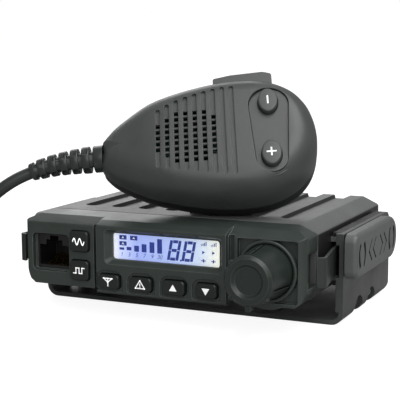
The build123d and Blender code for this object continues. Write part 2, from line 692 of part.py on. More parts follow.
with BuildPart() as shield_can:
    add(block((6, 18), (-4, 14), (BOARD_Z + BOARD_THICK, 28.6)))
    add(block((6.4, 17.6), (-3.6, 13.6), (BOARD_Z + BOARD_THICK - 1, 28.2)), mode=Mode.SUBTRACT)
finish(shield_can.part, "shield_can")

with BuildPart() as power_transistors:
    for x in (2.0, 15.0):
        add(block((x - 5, x + 5), (24.6, INSIDE_REAR), (13.5, 23.5)))
        add(block((x - 5, x + 5), (27.7, INSIDE_REAR), (23.0, 29.0)))
finish(power_transistors.part, "power_transistors")

with BuildPart() as speaker:
    with BuildSketch(Plane(origin=(SPEAKER_AT[0], SPEAKER_AT[1], 0), x_dir=(1, 0, 0), z_dir=(0, -1, 0))):
        with BuildLine():
            Polyline((0, 12.2), (6, 12.0), (14.5, 12.6), (15.5, 11.3), (18, 11.3), (18, 12.6),
                     (10, 16.0), (10, 19.6), (0, 19.6), close=True)
        make_face()
    revolve(axis=Axis((SPEAKER_AT[0], SPEAKER_AT[1], 0), (0, 0, 1)))
finish(speaker.part, "speaker")

# ================================================================ rear sockets

ANTENNA = (ANTENNA_AT[0], REAR_Y, ANTENNA_AT[1])
with BuildPart() as antenna_socket:
    with BuildSketch(at_y(REAR_Y + 2.4)):
        with Locations(ANTENNA_AT):
            RegularPolygon(10.4, 6)
    extrude(amount=2.4)
    add(rod(ANTENNA, (0, 1, 0), 7.94, 13.0))
    add(rod((ANTENNA[0], 25.0, ANTENNA[2]), (0, 1, 0), 5.0, 8.0))
    add(rod((ANTENNA[0], REAR_Y + 1.5, ANTENNA[2]), (0, 1, 0), 6.4, 14.0), mode=Mode.SUBTRACT)
    add(rod((ANTENNA[0], 24.0, ANTENNA[2]), (0, 1, 0), 2.4, 10.0), mode=Mode.SUBTRACT)
finish(antenna_socket.part, "antenna_socket")

with BuildPart() as antenna_insulator:
    add(rod((ANTENNA[0], REAR_Y + 1.5, ANTENNA[2]), (0, 1, 0), 6.4, 3.0))
    add(rod((ANTENNA[0], REAR_Y + 4.0, ANTENNA[2]), (0, 1, 0), 4.2, 6.0))
    add(rod((ANTENNA[0], REAR_Y + 1.0, ANTENNA[2]), (0, 1, 0), 2.4, 10.0), mode=Mode.SUBTRACT)
finish(antenna_insulator.part, "antenna_insulator")

with BuildPart() as antenna_contact:
    add(rod((ANTENNA[0], 23.0, ANTENNA[2]), (0, 1, 0), 2.4, 20.0))
    add(rod((ANTENNA[0], REAR_Y + 3.0, ANTENNA[2]), (0, 1, 0), 2.0, 10.0), mode=Mode.SUBTRACT)
finish(antenna_contact.part, "antenna_contact")

with BuildPart() as speaker_jack:
    jack_axis = (SPEAKER_JACK_AT[0], 18.5, SPEAKER_JACK_AT[1])
    add(block((jack_axis[0] - 4, jack_axis[0] + 4), (18.5, INSIDE_REAR), (15.5, 21.9)))
    add(rod(jack_axis, (0, 1, 0), 3.5, REAR_Y + 2.0 - 18.5))
    with BuildSketch(at_y(REAR_Y + 1.8)):
        with Locations(SPEAKER_JACK_AT):
            RegularPolygon(5.4, 6)
    extrude(amount=1.8)
    add(rod((jack_axis[0], 20.0, jack_axis[2]), (0, 1, 0), 1.78, 20), mode=Mode.SUBTRACT)
finish(speaker_jack.part, "speaker_jack")

INLET_X, INLET_Z = INLET_AT
with BuildPart() as power_inlet:
    with BuildSketch(at_y(REAR_Y + 1.6)):
        with Locations(INLET_AT):
            RectangleRounded(20, 14, 1.5)
    extrude(amount=1.6)
    add(block((INLET_X - 8, INLET_X + 8), (20.5, REAR_Y + 1.6), (INLET_Z - 5, INLET_Z + 5)))
    add(block((INLET_X - 6.4, INLET_X + 6.4), (22.5, REAR_Y + 3), (INLET_Z - 3.4, INLET_Z + 3.4)),
        mode=Mode.SUBTRACT)
finish(power_inlet.part, "power_inlet")

with BuildPart() as power_pins:
    for side in (-1, 1):
        x = INLET_X + side * 3.2
        add(block((x - 0.4, x + 0.4), (19.0, REAR_Y - 1.0), (INLET_Z - 1.6, INLET_Z + 1.6)))
finish(power_pins.part, "power_pins")

# ================================================================ microphone


def mic_face(inset):
    """The microphone's outline, brought in by inset, for the sketch in hand."""
    tail = MIC_TAIL + inset
    with BuildLine() as outline:
        points = [(tail, MIC_HALF[0][1] - 0.4 * inset)]
        for (u0, v0), (u1, v1), (u2, v2) in zip(MIC_HALF, MIC_HALF[1:], MIC_HALF[2:]):
            along = Vector(u2 - u0, v2 - v0).normalized()
            points.append((u1 + along.Y * inset, v1 - along.X * inset))
        points.append((MIC_HALF[-1][0] - inset, 0))
        upper = Spline(*points, tangents=((1, 1), (0, -1)))
        mirror(upper, about=Plane.XZ)
        Line((tail, -points[0][1]), (tail, points[0][1]))
    make_face(outline.edges())


def mic_layer(low, low_inset, high, high_inset):
    """The microphone's outline lofted between two levels, each brought in by its inset."""
    with BuildPart() as layer:
        with BuildSketch(mic_level(low)):
            mic_face(low_inset)
        with BuildSketch(mic_level(high)):
            mic_face(high_inset)
        loft(ruled=True)
    return layer.part


def key_plate_outline(grow):
    """The hull of the key plate's two circles, for the sketch in hand."""
    for u, v, radius in KEYPLATE:
        with Locations((u, v)):
            Circle(radius + grow)
    make_hull()


# the tail end of the face slopes down towards the cord
SLOPE = [(-26.0, MIC_FACE), (-50.0, 6.6), (-50.0, 30.0), (-26.0, 30.0)]
GRILLE = [(-24.7, 9.6, -12.8), (-21.6, 11.4, -13.6), (-18.5, 12.9, -14.3), (-15.4, 14.0, -15.0),
          (-12.3, 15.0, -15.6), (-9.2, 15.8, -16.2), (-6.1, 16.5, -16.8), (-3.0, 16.9, -17.3),
          (0.1, 17.0, -17.6)]  # each slot's place, top and bottom
OPEN_SLOTS = 7
PTT_U = (-6.0, 14.0)
PTT_W = (3.2, 11.0)
MIC_SCREWS = [(-33.0, 0.0, 10.8), (22.6, 5.5, 13.0), (22.6, -5.5, 13.0)]  # u, v, top of the boss

CROWN = 3.6  # how far the crown comes in, up to the face
with BuildPart() as mic_cavity:
    add(mic_layer(-0.1, MIC_WALL, MIC_WAIST - 0.8, MIC_WALL))
    add(mic_layer(MIC_WAIST - 0.8, MIC_WALL, MIC_FACE - MIC_WALL, MIC_WALL + CROWN))
    with BuildSketch(mic_side()):
        with BuildLine():
            Polyline(*[(u - 0.6, w - MIC_WALL - 0.4) for u, w in SLOPE], close=True)
        make_face()
    extrude(amount=40, both=True, mode=Mode.SUBTRACT)

with BuildPart() as mic_front_shell:
    add(mic_layer(0, 0, MIC_WAIST, 0))
    add(mic_layer(MIC_WAIST, 0, MIC_FACE, CROWN))
    with BuildSketch(mic_side()):
        with BuildLine():
            Polyline(*SLOPE, close=True)
        make_face()
    extrude(amount=40, both=True, mode=Mode.SUBTRACT)
    add(mic_cavity.part, mode=Mode.SUBTRACT)
    # screw bosses
    for u, v, top in MIC_SCREWS:
        add(mic_rod(u, v, 0.2, top, 2.2))
        add(mic_rod(u, v, -1, 7.0, 0.95), mode=Mode.SUBTRACT)
    # grille slots: the sound passes through the first seven, the last two are grooves
    with BuildSketch(mic_level(MIC_FACE - MIC_WALL - 1.2)):
        for u, top, bottom in GRILLE[:OPEN_SLOTS]:
            with Locations((u, (top + bottom) / 2)):
                SlotOverall(top - bottom, 1.5, rotation=90)
    extrude(amount=4, mode=Mode.SUBTRACT)
    with BuildSketch(mic_level(MIC_FACE - 1.0)):
        for u, top, bottom in GRILLE[OPEN_SLOTS:]:
            with Locations((u, (top + bottom) / 2)):
                SlotOverall(top - bottom, 1.5, rotation=90)
    extrude(amount=2, mode=Mode.SUBTRACT)
    # opening for the key plate
    with BuildSketch(mic_level(MIC_FACE - MIC_WALL - 0.5)):
        key_plate_outline(0)
    extrude(amount=4, mode=Mode.SUBTRACT)
    with BuildSketch(mic_level(10.7)):
        key_plate_outline(1.2)
    extrude(amount=1.7, mode=Mode.SUBTRACT)
    # opening for the push-to-talk bar
    add(mic_block((PTT_U[0] - 0.3, PTT_U[1] + 0.3), (16.0, 27.0), (PTT_W[0] - 0.3, PTT_W[1] + 0.3)),
        mode=Mode.SUBTRACT)
    # cord entry
    add(rod(mic_point(-50, 0, RELIEF_W), MIC_U, 3.5, 10), mode=Mode.SUBTRACT)
finish(mic_front_shell.part, "mic_front_shell")

with BuildPart() as mic_back_shell:
    add(mic_layer(-4.2, 0.2, -0.1, 0.2))
    add(mic_layer(-MIC_BACK, 3.4, -4.2, 0.2))
    add(mic_layer(-4.4, MIC_WALL + 0.2, 0.5, MIC_WALL + 0.2), mode=Mode.SUBTRACT)
    add(mic_layer(-MIC_BACK + MIC_WALL, MIC_WALL + 2.6, -4.4, MIC_WALL + 0.2), mode=Mode.SUBTRACT)
    for u, v, top in MIC_SCREWS:
        add(mic_rod(u, v, -5.9, -0.1, 2.6))
        add(mic_rod(u, v, -8, 1, 1.0), mode=Mode.SUBTRACT)
        add(mic_rod(u, v, -8, -3.4, 1.9), mode=Mode.SUBTRACT)
    add(mic_rod(*HANG_AT, -5.9, -2.0, 3.4))
    add(mic_rod(*HANG_AT, -9, -1.0, 1.5), mode=Mode.SUBTRACT)
    add(rod(mic_point(-50, 0, RELIEF_W), MIC_U, 3.5, 10), mode=Mode.SUBTRACT)
finish(mic_back_shell.part, "mic_back_shell")

with BuildPart() as mic_screws:
    for u, v, top in MIC_SCREWS:
        add(mic_rod(u, v, -5.2, -3.4, 1.8))
        add(mic_rod(u, v, -3.5, 5.5, 0.95))
finish(mic_screws.part, "mic_screws")

with BuildPart() as mic_key_plate:
    with BuildSketch(mic_level(11.0)):
        key_plate_outline(0.9)
    extrude(amount=1.2)
    with BuildSketch(mic_level(12.1)):
        key_plate_outline(-0.15)
    extrude(amount=1.2)
    with BuildSketch(mic_level(10.0)):
        for u, v in MIC_KEYS.values():
            with Locations((u, v)):
                Ellipse(3.45, 4.85)
    extrude(amount=5, mode=Mode.SUBTRACT)
finish(mic_key_plate.part, "mic_key_plate")

for name, (u, v) in MIC_KEYS.items():
    with BuildPart() as mic_key:
        with BuildSketch(mic_level(9.4)):
            with Locations((u, v)):
                Ellipse(3.25, 4.65)
        extrude(amount=15.3 - 9.4)
        fillet(mic_key.faces().sort_by(Axis((0, 0, 0), MIC_W))[-1].edges(), 0.6)
        with BuildSketch(mic_level(9.4)):
            with Locations((u, v)):
                Ellipse(4.0, 5.4)
        extrude(amount=1.2)
    finish(mic_key.part, name)

with BuildPart() as ptt_button:
    with BuildSketch(mic_level(PTT_W[0])):
        with BuildLine():
            FilletPolyline((PTT_U[0], 18.2), (PTT_U[0], 22.8), (0.0, 23.8), (11.0, 24.2),
                           (PTT_U[1], 23.2), (PTT_U[1], 18.2), radius=[0.2, 0.8, 3.0, 2.0, 1.2, 0.2],
                           close=True)
        make_face()
    extrude(amount=PTT_W[1] - PTT_W[0])
    add(mic_block((PTT_U[0] - 1.0, 9.5), (17.6, 18.6), (PTT_W[0], 8.8)))
finish(ptt_button.part, "ptt_button")

with BuildPart() as mic_board:
    with BuildSketch(mic_level(0.4)):
        with Locations((-4, 0)):
            RectangleRounded(46, 28, 4)
    extrude(amount=1.4)
finish(mic_board.part, "mic_board")

with BuildPart() as mic_switches:
    for u, v in MIC_KEYS.values():
        add(mic_block((u - 3, u + 3), (v - 3, v + 3), (1.8, 5.6)))
        add(mic_rod(u, v, 5.5, 8.2, 1.7))
    add(mic_block((-1, 5), (10.0, 13.5), (1.8, 7.0)))
    add(rod(mic_point(2, 13.4, 5.0), MIC_V, 1.4, 2.4))
finish(mic_switches.part, "mic_switches")

with BuildPart() as mic_capsule:
    add(mic_rod(-15, 0, 1.8, 11.4, 6.5))
finish(mic_capsule.part, "mic_capsule")

with BuildPart() as hang_button:
    add(mic_rod(*HANG_AT, -8.4, -MIC_BACK, 4.6))
    add(mic_rod(*HANG_AT, -10.8, -8.2, 2.6))
    add(mic_rod(*HANG_AT, -12.8, -10.7, 6.0))
    add(mic_rod(*HANG_AT, -MIC_BACK - 0.2, -2.4, 1.5))
finish(hang_button.part, "hang_button")

with BuildPart() as mic_hanger:
    with BuildSketch(foot_plane):
        with BuildLine():
            Polyline((0, 0), (lean.X * plate_length, lean.Y * plate_length),
                     (lean.X * plate_length + lean.Y * HANGER_THICK,
                      lean.Y * plate_length - lean.X * HANGER_THICK),
                     (HANGER_THICK * (1 + lean.X) / lean.Y, HANGER_THICK),
                     (FOOT_LENGTH, HANGER_THICK), (FOOT_LENGTH, 0), close=True)
        make_face()
    extrude(amount=HANGER_HALF, both=True)
    # slot for the hang button, open at the top
    with BuildSketch(Plane(origin=hang_centre, x_dir=HANG_LEVEL, z_dir=HANG_OUT)):
        Circle(2.9)
        with Locations((0, 10)):
            Rectangle(5.8, 20)
    extrude(amount=4, both=True, mode=Mode.SUBTRACT)
    tips = mic_hanger.edges().filter_by(Axis((0, 0, 0), HANG_OUT)).sort_by(Axis((0, 0, 0), HANG_UP))[-4:]
    fillet(tips, 2.0)
    for place in screw_places:
        add(rod(Vector(place.X, place.Y, CASE_TOP - 1), (0, 0, 1), 1.25, 4), mode=Mode.SUBTRACT)
finish(mic_hanger.part, "mic_hanger")

with BuildPart() as hanger_screws:
    for place in screw_places:
        add(rod(Vector(place.X, place.Y, 31.2), (0, 0, 1), 1.25, CASE_TOP + HANGER_THICK - 31.2))
        add(rod(Vector(place.X, place.Y, CASE_TOP + HANGER_THICK), (0, 0, 1), 2.3, 1.3))
finish(hanger_screws.part, "hanger_screws")

# ================================================================ cord

# the strain relief bends down from the microphone's tail, and the cord goes on from its end
RELIEF = [mic_point(MIC_TAIL + 3.2, 0, RELIEF_W), mic_point(-57.5, 0, RELIEF_W),
          Vector(-49.6, -48.6, 47.6)]
with BuildPart() as strain_relief:
    with BuildLine() as relief_line:
        FilletPolyline(*RELIEF, radius=25)
    with BuildSketch(Plane(origin=RELIEF[0], z_dir=RELIEF[1] - RELIEF[0])):
        Circle(3.7)
    sweep()
    add(rod(mic_point(-43.0, 0, RELIEF_W), MIC_U, 4.4, 1.6))
    add(rod(mic_point(MIC_TAIL - 0.2, 0, RELIEF_W), -MIC_U, 4.7, 2.4))
finish(strain_relief.part, "strain_relief")


def cord_tube(points, radii_share=0.45):
    """A tube along straight runs joined by the largest tangent arcs that fit, and its radii."""
    radii = []
    for before, corner, after in zip(points, points[1:], points[2:]):
        turn = (corner - before).get_angle(after - corner)
        shorter = min((corner - before).length, (after - corner).length)
        radii.append(radii_share * shorter / tan(radians(turn / 2)))
    print("cord radii", [round(radius, 1) for radius in radii])
    with BuildPart() as tube:
        with BuildLine():
            path = FilletPolyline(*points, radius=radii)
        with BuildSketch(Plane(origin=points[0], z_dir=points[1] - points[0])):
            Circle(CORD_R)
        sweep()
    print("cord length", round(path.length, 1), "filled",
          round(tube.part.volume / (path.length * pi * CORD_R**2), 4))
    return tube.part


COIL_Z = TIE + CORD_R
COIL_OUT = COIL_R + COIL_HALF_WIDTH
ENTRY_Y = COIL_Y - COIL_OUT + CORD_R
LEAD = [RELIEF[2], Vector(-58.5, -52.2, 42.0), Vector(-67.0, -55.4, 33.0), Vector(-75.5, -58.0, 22.5),
        Vector(-84.0, -59.4, 12.5), Vector(-94.0, -59.0, 5.6), Vector(-107.0, ENTRY_Y - 1.3, COIL_Z),
        Vector(COIL_X, ENTRY_Y, COIL_Z)]
TAIL_X = COIL_X - COIL_OUT + CORD_R
TAIL = [Vector(TAIL_X, COIL_Y, COIL_Z + 2 * CORD_R), Vector(TAIL_X - 0.7, COIL_Y + 11, 6.4),
        Vector(TAIL_X - 0.4, COIL_Y + 22, 5.0)]
with BuildPart() as mic_cord:
    add(cord_tube(LEAD))
    add(cord_tube(TAIL))
finish(mic_cord.part, "mic_cord")

with BuildPart() as mic_cord_coil:
    with BuildSketch(at_z(TIE)):
        with Locations((COIL_X, COIL_Y)):
            Circle(COIL_OUT)
            Circle(COIL_R - COIL_HALF_WIDTH, mode=Mode.SUBTRACT)
    extrude(amount=COIL_HEIGHT)
    fillet(mic_cord_coil.edges(), 1.6)
finish(mic_cord_coil.part, "mic_cord_coil")

# a strap round the coil's section
TIE_X = COIL_X + COIL_R
with BuildPart() as cord_tie:
    with BuildSketch(Plane(origin=(TIE_X, COIL_Y, TIE + COIL_HEIGHT / 2), x_dir=(1, 0, 0), z_dir=(0, 1, 0))):
        RectangleRounded(2 * COIL_HALF_WIDTH + 2 * TIE, COIL_HEIGHT + 2 * TIE, 1.8)
        RectangleRounded(2 * COIL_HALF_WIDTH, COIL_HEIGHT, 1.2, mode=Mode.SUBTRACT)
    extrude(amount=4.0, both=True)
finish(cord_tie.part, "cord_tie")

# the modular plug at the cord's end
plug_start = TAIL[-1].Y
with BuildPart() as mic_plug:
    add(block((TAIL_X - 0.4 - 5.85, TAIL_X - 0.4 + 5.85), (plug_start, plug_start + 21.5), (0.0, 8.0)))
    fillet(mic_plug.edges().filter_by(Axis.Y), 0.4)
    # the latch, a tongue hinged at the front end
    with BuildSketch(at_x(TAIL_X - 0.4 - 1.6)):
        with BuildLine():
            Polyline((plug_start + 20.5, 7.9), (plug_start + 20.5, 9.0), (plug_start + 7, 11.2),
                     (plug_start + 7, 10.3), (plug_start + 17.5, 8.2), (plug_start + 17.5, 7.9),
                     close=True)
        make_face()
    extrude(amount=3.2)
    # contact slits under the front end
    for i in range(8):
        x = TAIL_X - 0.4 + (i - 3.5) * 1.02
        add(block((x - 0.2, x + 0.2), (plug_start + 17, plug_start + 22), (-1, 0.9)),
            mode=Mode.SUBTRACT)
finish(mic_plug.part, "mic_plug")
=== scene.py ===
"""A mobile transceiver in its quick-release bracket, with a corded palm microphone."""

import json
from math import cos, pi, radians, sin

import bmesh
import bpy
from mathutils import Matrix, Vector


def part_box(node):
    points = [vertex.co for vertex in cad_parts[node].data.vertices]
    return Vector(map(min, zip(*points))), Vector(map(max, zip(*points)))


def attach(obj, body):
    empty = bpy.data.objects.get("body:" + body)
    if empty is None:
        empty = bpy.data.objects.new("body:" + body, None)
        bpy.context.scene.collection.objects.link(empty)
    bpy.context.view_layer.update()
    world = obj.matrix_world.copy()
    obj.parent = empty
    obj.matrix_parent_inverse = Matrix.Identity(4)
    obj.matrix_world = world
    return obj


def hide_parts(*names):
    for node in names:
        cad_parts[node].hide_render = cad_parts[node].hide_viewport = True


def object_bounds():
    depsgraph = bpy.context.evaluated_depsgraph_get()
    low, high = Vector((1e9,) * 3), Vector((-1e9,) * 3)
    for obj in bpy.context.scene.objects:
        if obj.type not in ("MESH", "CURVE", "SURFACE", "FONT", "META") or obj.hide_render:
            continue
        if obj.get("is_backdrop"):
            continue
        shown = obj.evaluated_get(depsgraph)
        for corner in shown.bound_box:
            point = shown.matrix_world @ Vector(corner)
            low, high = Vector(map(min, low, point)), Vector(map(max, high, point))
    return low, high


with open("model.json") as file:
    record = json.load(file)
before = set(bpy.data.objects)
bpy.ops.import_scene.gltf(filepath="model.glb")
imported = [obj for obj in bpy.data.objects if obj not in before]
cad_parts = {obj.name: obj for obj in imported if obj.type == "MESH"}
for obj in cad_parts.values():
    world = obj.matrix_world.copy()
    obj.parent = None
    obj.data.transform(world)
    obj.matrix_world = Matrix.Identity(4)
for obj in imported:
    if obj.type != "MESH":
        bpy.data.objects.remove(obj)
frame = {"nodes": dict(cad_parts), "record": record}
cad_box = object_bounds()
nodes = frame["nodes"]
MM = 0.001

# ================================================================ camera, floor and light
CAMERA_AT = Vector((162.5, -364.8, 93.2)) * MM
CAMERA_YAW, CAMERA_PITCH, CAMERA_ROLL = radians(24.92), radians(-8.33), radians(-0.3)


def look(yaw, pitch, roll):
    """The rotation of a camera that looks along +Y, turned left by yaw and up by pitch."""
    ahead = Vector((-sin(yaw) * cos(pitch), cos(yaw) * cos(pitch), sin(pitch)))
    level = Vector((cos(yaw), sin(yaw), 0))
    above = level.cross(ahead)
    right = level * cos(roll) + above * sin(roll)
    up = above * cos(roll) - level * sin(roll)
    return Matrix((right, up, -ahead)).transposed().to_4x4()


camera = bpy.data.objects.new("camera", bpy.data.cameras.new("camera"))
camera.data.lens = 100
camera.data.sensor_width = 36
camera.data.clip_start = 0.01
camera.matrix_world = Matrix.Translation(CAMERA_AT) @ look(CAMERA_YAW, CAMERA_PITCH, CAMERA_ROLL)
bpy.context.scene.collection.objects.link(camera)
bpy.context.scene.camera = camera
bpy.context.scene.view_settings.view_transform = "Standard"


def soft_sun(name, towards, strength, spread):
    """Even, soft light from a direction; spread is how large its source looks."""
    lamp = bpy.data.lights.new(name, "SUN")
    lamp.energy = strength
    lamp.angle = radians(spread)
    obj = bpy.data.objects.new(name, lamp)
    obj.rotation_mode = "QUATERNION"
    obj.rotation_quaternion = Vector(towards).to_track_quat("Z", "Y")
    bpy.context.scene.collection.objects.link(obj)


def soft_box(name, at, target, size, power):
    """A square diffuser at a place, turned to a target, in metres and watts."""
    lamp = bpy.data.lights.new(name, "AREA")
    lamp.size = size
    lamp.energy = power
    obj = bpy.data.objects.new(name, lamp)
    obj.location = at
    obj.rotation_mode = "QUATERNION"
    obj.rotation_quaternion = (Vector(at) - Vector(target)).to_track_quat("Z", "Y")
    bpy.context.scene.collection.objects.link(obj)


OBJECT_MIDDLE = (0.0, -0.01, 0.03)
soft_box("light_above_right", (0.20, -0.08, 0.45), OBJECT_MIDDLE, 0.36, 1.6)
soft_sun("light_front", (0.45, -0.80, 0.45), 1.35, 60)
soft_sun("light_behind_left", (-0.55, 0.7, 0.55), 0.80, 40)

# the room: white behind the object, dimmer as a source of light
AMBIENT = 0.24
world = bpy.data.worlds.new("studio")
world.use_nodes = True
room = world.node_tree
seen = room.nodes.new("ShaderNodeLightPath").outputs["Is Camera Ray"]
level = room.nodes.new("ShaderNodeMapRange")
level.inputs["To Min"].default_value = AMBIENT
level.inputs["To Max"].default_value = 1.0
room.links.new(seen, level.inputs["Value"])
room.links.new(level.outputs["Result"], room.nodes["Background"].inputs["Strength"])
room.nodes["Background"].inputs["Color"].default_value = (1, 1, 1, 1)
bpy.context.scene.world = world

# ================================================================ materials


def graph(name):
    """A new material's nodes, links and shader."""
    made = bpy.data.materials.new(name)
    made.use_nodes = True
    tree = made.node_tree
    return made, tree, tree.nodes["Principled BSDF"]


def put(shader, **values):
    """Sets the shader's own sockets; in a name, _ stands for a space."""
    for name, value in values.items():
        shader.inputs[name.replace("_", " ")].default_value = value


def add_node(tree, kind, links=(), **settings):
    """A node with its settings; links is [(input, output socket or value)]."""
    made = tree.nodes.new("ShaderNode" + kind)
    for name, value in settings.items():
        setattr(made, name, value)
    for name, source in links:
        if isinstance(source, bpy.types.NodeSocket):
            tree.links.new(source, made.inputs[name])
        else:
            made.inputs[name].default_value = source
    return made


def shade(colour, factor):
    """A colour made lighter or darker, with alpha."""
    return (*(min(1.0, part * factor) for part in colour), 1.0)


def noise(tree, place, scale, detail=3.0):
    """The height of a noise texture of that many cells a metre."""
    links = [("Vector", place), ("Scale", scale), ("Detail", detail)]
    return add_node(tree, "TexNoise", links).outputs["Fac"]


def span(tree, value, low, high, new_low, new_high):
    """The value as it is from low to high, stretched to run from new_low to new_high."""
    links = [("Value", value), ("From Min", low), ("From Max", high),
             ("To Min", new_low), ("To Max", new_high)]
    return add_node(tree, "MapRange", links).outputs["Result"]


def mix(tree, factor, first, second):
    """Two colours mixed by a factor."""
    made = add_node(tree, "Mix", data_type="RGBA")
    sockets = made.inputs[0], made.inputs[6], made.inputs[7]  # factor and the two colours
    for socket, source in zip(sockets, (factor, first, second)):
        if isinstance(source, bpy.types.NodeSocket):
            tree.links.new(source, socket)
        else:
            socket.default_value = source
    return made.outputs[2]


def moulded(name, colour, rough=0.5, mottle=0.10, mottle_scale=90.0, grain=0.15, grain_scale=3200.0,
            edge=0.3 * MM, wear_and_highlight=0.5, metal=0.0, specular=0.5, side_shade=0.0, pattern=None):
    """A moulded, painted or metal finish: slow mottling, fine grain, and softened edges made lighter as wear
    and as a painted highlight.

    mottle and grain are how strong, their scales are in cells a metre, edge is the radius of the
    softened edges, wear_and_highlight is how much lighter they are (wear and a painted highlight),
    side_shade is how black faces across X are (painted shade of the sides), and pattern makes
    another height than the grain's.
    """
    made, tree, shader = graph(name)
    place = add_node(tree, "TexCoord").outputs["Object"]
    slow = noise(tree, place, mottle_scale, 5.0)
    fine = noise(tree, place, grain_scale, 2.0)
    soft = add_node(tree, "Bevel", [("Radius", edge)], samples=4).outputs["Normal"]
    facing = add_node(tree, "NewGeometry").outputs["Normal"]
    bend = add_node(tree, "VectorMath", [(0, soft), (1, facing)], operation="DOT_PRODUCT").outputs["Value"]
    # edges made lighter than the body: partly wear, partly a painted highlight on the rims
    edge_wear_and_highlight = add_node(tree, "Math", [(0, span(tree, bend, 0.995, 0.80, 0.0, wear_and_highlight)), (1, slow)],
                      operation="MULTIPLY").outputs["Value"]
    patches = span(tree, slow, 0.3, 0.7, 0.0, 1.0)
    body = mix(tree, patches, shade(colour, 1 - mottle), shade(colour, 1 + mottle))
    speckled = mix(tree, span(tree, fine, 0.35, 0.65, 0.0, 0.22), body, shade(colour, 1.5))
    lit = mix(tree, edge_wear_and_highlight, speckled, shade([part + 0.05 for part in colour], 2.0))
    # faces across X are darkened to near black: painted shade, where the case's sides lie in shadow between
    # the bezel and the bracket arms
    if side_shade:
        normal = add_node(tree, "TexCoord").outputs["Normal"]
        way = add_node(tree, "SeparateXYZ", [("Vector", normal)]).outputs["X"]
        sideways = add_node(tree, "Math", [(0, way)], operation="ABSOLUTE").outputs["Value"]
        lit = mix(tree, span(tree, sideways, 0.85, 0.97, 0.0, side_shade), lit, shade(colour, 0.06))
    height = fine
    if pattern:
        height = pattern(tree, place)
    tree.links.new(lit, shader.inputs["Base Color"])
    tree.links.new(span(tree, slow, 0.3, 0.7, rough - 0.07, rough + 0.07), shader.inputs["Roughness"])
    bump = add_node(tree, "Bump", [("Strength", grain), ("Distance", 0.15 * MM), ("Height", height),
                                   ("Normal", soft)])
    tree.links.new(bump.outputs["Normal"], shader.inputs["Normal"])
    put(shader, Metallic=metal, Specular_IOR_Level=specular)
    return made


def woven(tree, place):
    """The height of a woven strap: two crossed sets of ribs."""
    across = add_node(tree, "TexWave", [("Vector", place), ("Scale", 260.0)], bands_direction="X")
    along = add_node(tree, "TexWave", [("Vector", place), ("Scale", 260.0)], bands_direction="Y")
    return add_node(tree, "Math", [(0, across.outputs["Fac"]), (1, along.outputs["Fac"])],
                    operation="MAXIMUM").outputs["Value"]


def brushed(tree, place):
    """The height of fine lines round a turned or brushed part."""
    long = add_node(tree, "Mapping", [("Vector", place), ("Scale", (1.0, 14.0, 14.0))]).outputs["Vector"]
    return noise(tree, long, 700.0, 3.0)


def traces(tree, place):
    """The height of a circuit board's copper tracks."""
    bricks = add_node(tree, "TexBrick", [("Vector", place), ("Scale", 180.0), ("Mortar Size", 0.03)])
    return bricks.outputs["Fac"]


def display_finish(left, right):
    """A lit liquid crystal display, blue in the middle, paler at its left and right ends."""
    made, tree, shader = graph("display_lit")
    place = add_node(tree, "TexCoord").outputs["Object"]
    across = add_node(tree, "SeparateXYZ", [("Vector", place)]).outputs["X"]
    ramp = add_node(tree, "ValToRGB", [("Fac", span(tree, across, left, right, 0.0, 1.0))])
    stops = [(0.0, (0.93, 0.95, 1.0)), (0.05, (0.62, 0.70, 0.98)), (0.22, (0.36, 0.45, 0.90)),
             (0.55, (0.42, 0.53, 0.88)), (0.80, (0.62, 0.72, 0.88)), (0.95, (0.90, 0.92, 0.82)),
             (1.0, (0.97, 0.96, 0.84))]
    for at, colour in stops[1:-1]:
        ramp.color_ramp.elements.new(at).color = (*colour, 1)
    ramp.color_ramp.elements[0].color = (*stops[0][1], 1)
    ramp.color_ramp.elements[-1].color = (*stops[-1][1], 1)
    cells = noise(tree, place, 4200.0, 2.0)
    glow = mix(tree, span(tree, cells, 0.3, 0.7, 0.0, 0.08), ramp.outputs["Color"], (1, 1, 1, 1))
    tree.links.new(glow, shader.inputs["Base Color"])
    tree.links.new(glow, shader.inputs["Emission Color"])
    put(shader, Emission_Strength=0.72, Roughness=0.4, Specular_IOR_Level=0.2)
    return made


def clear_finish(name, tint, rough=0.03, ior=1.46):
    """Clear plastic, with very slight unevenness."""
    made, tree, shader = graph(name)
    place = add_node(tree, "TexCoord").outputs["Object"]
    slow = noise(tree, place, 150.0, 2.0)
    tree.links.new(mix(tree, slow, shade(tint, 1.0), shade(tint, 0.96)), shader.inputs["Base Color"])
    tree.links.new(span(tree, slow, 0.0, 1.0, rough, rough + 0.03), shader.inputs["Roughness"])
    put(shader, Transmission_Weight=1.0, IOR=ior)
    return made


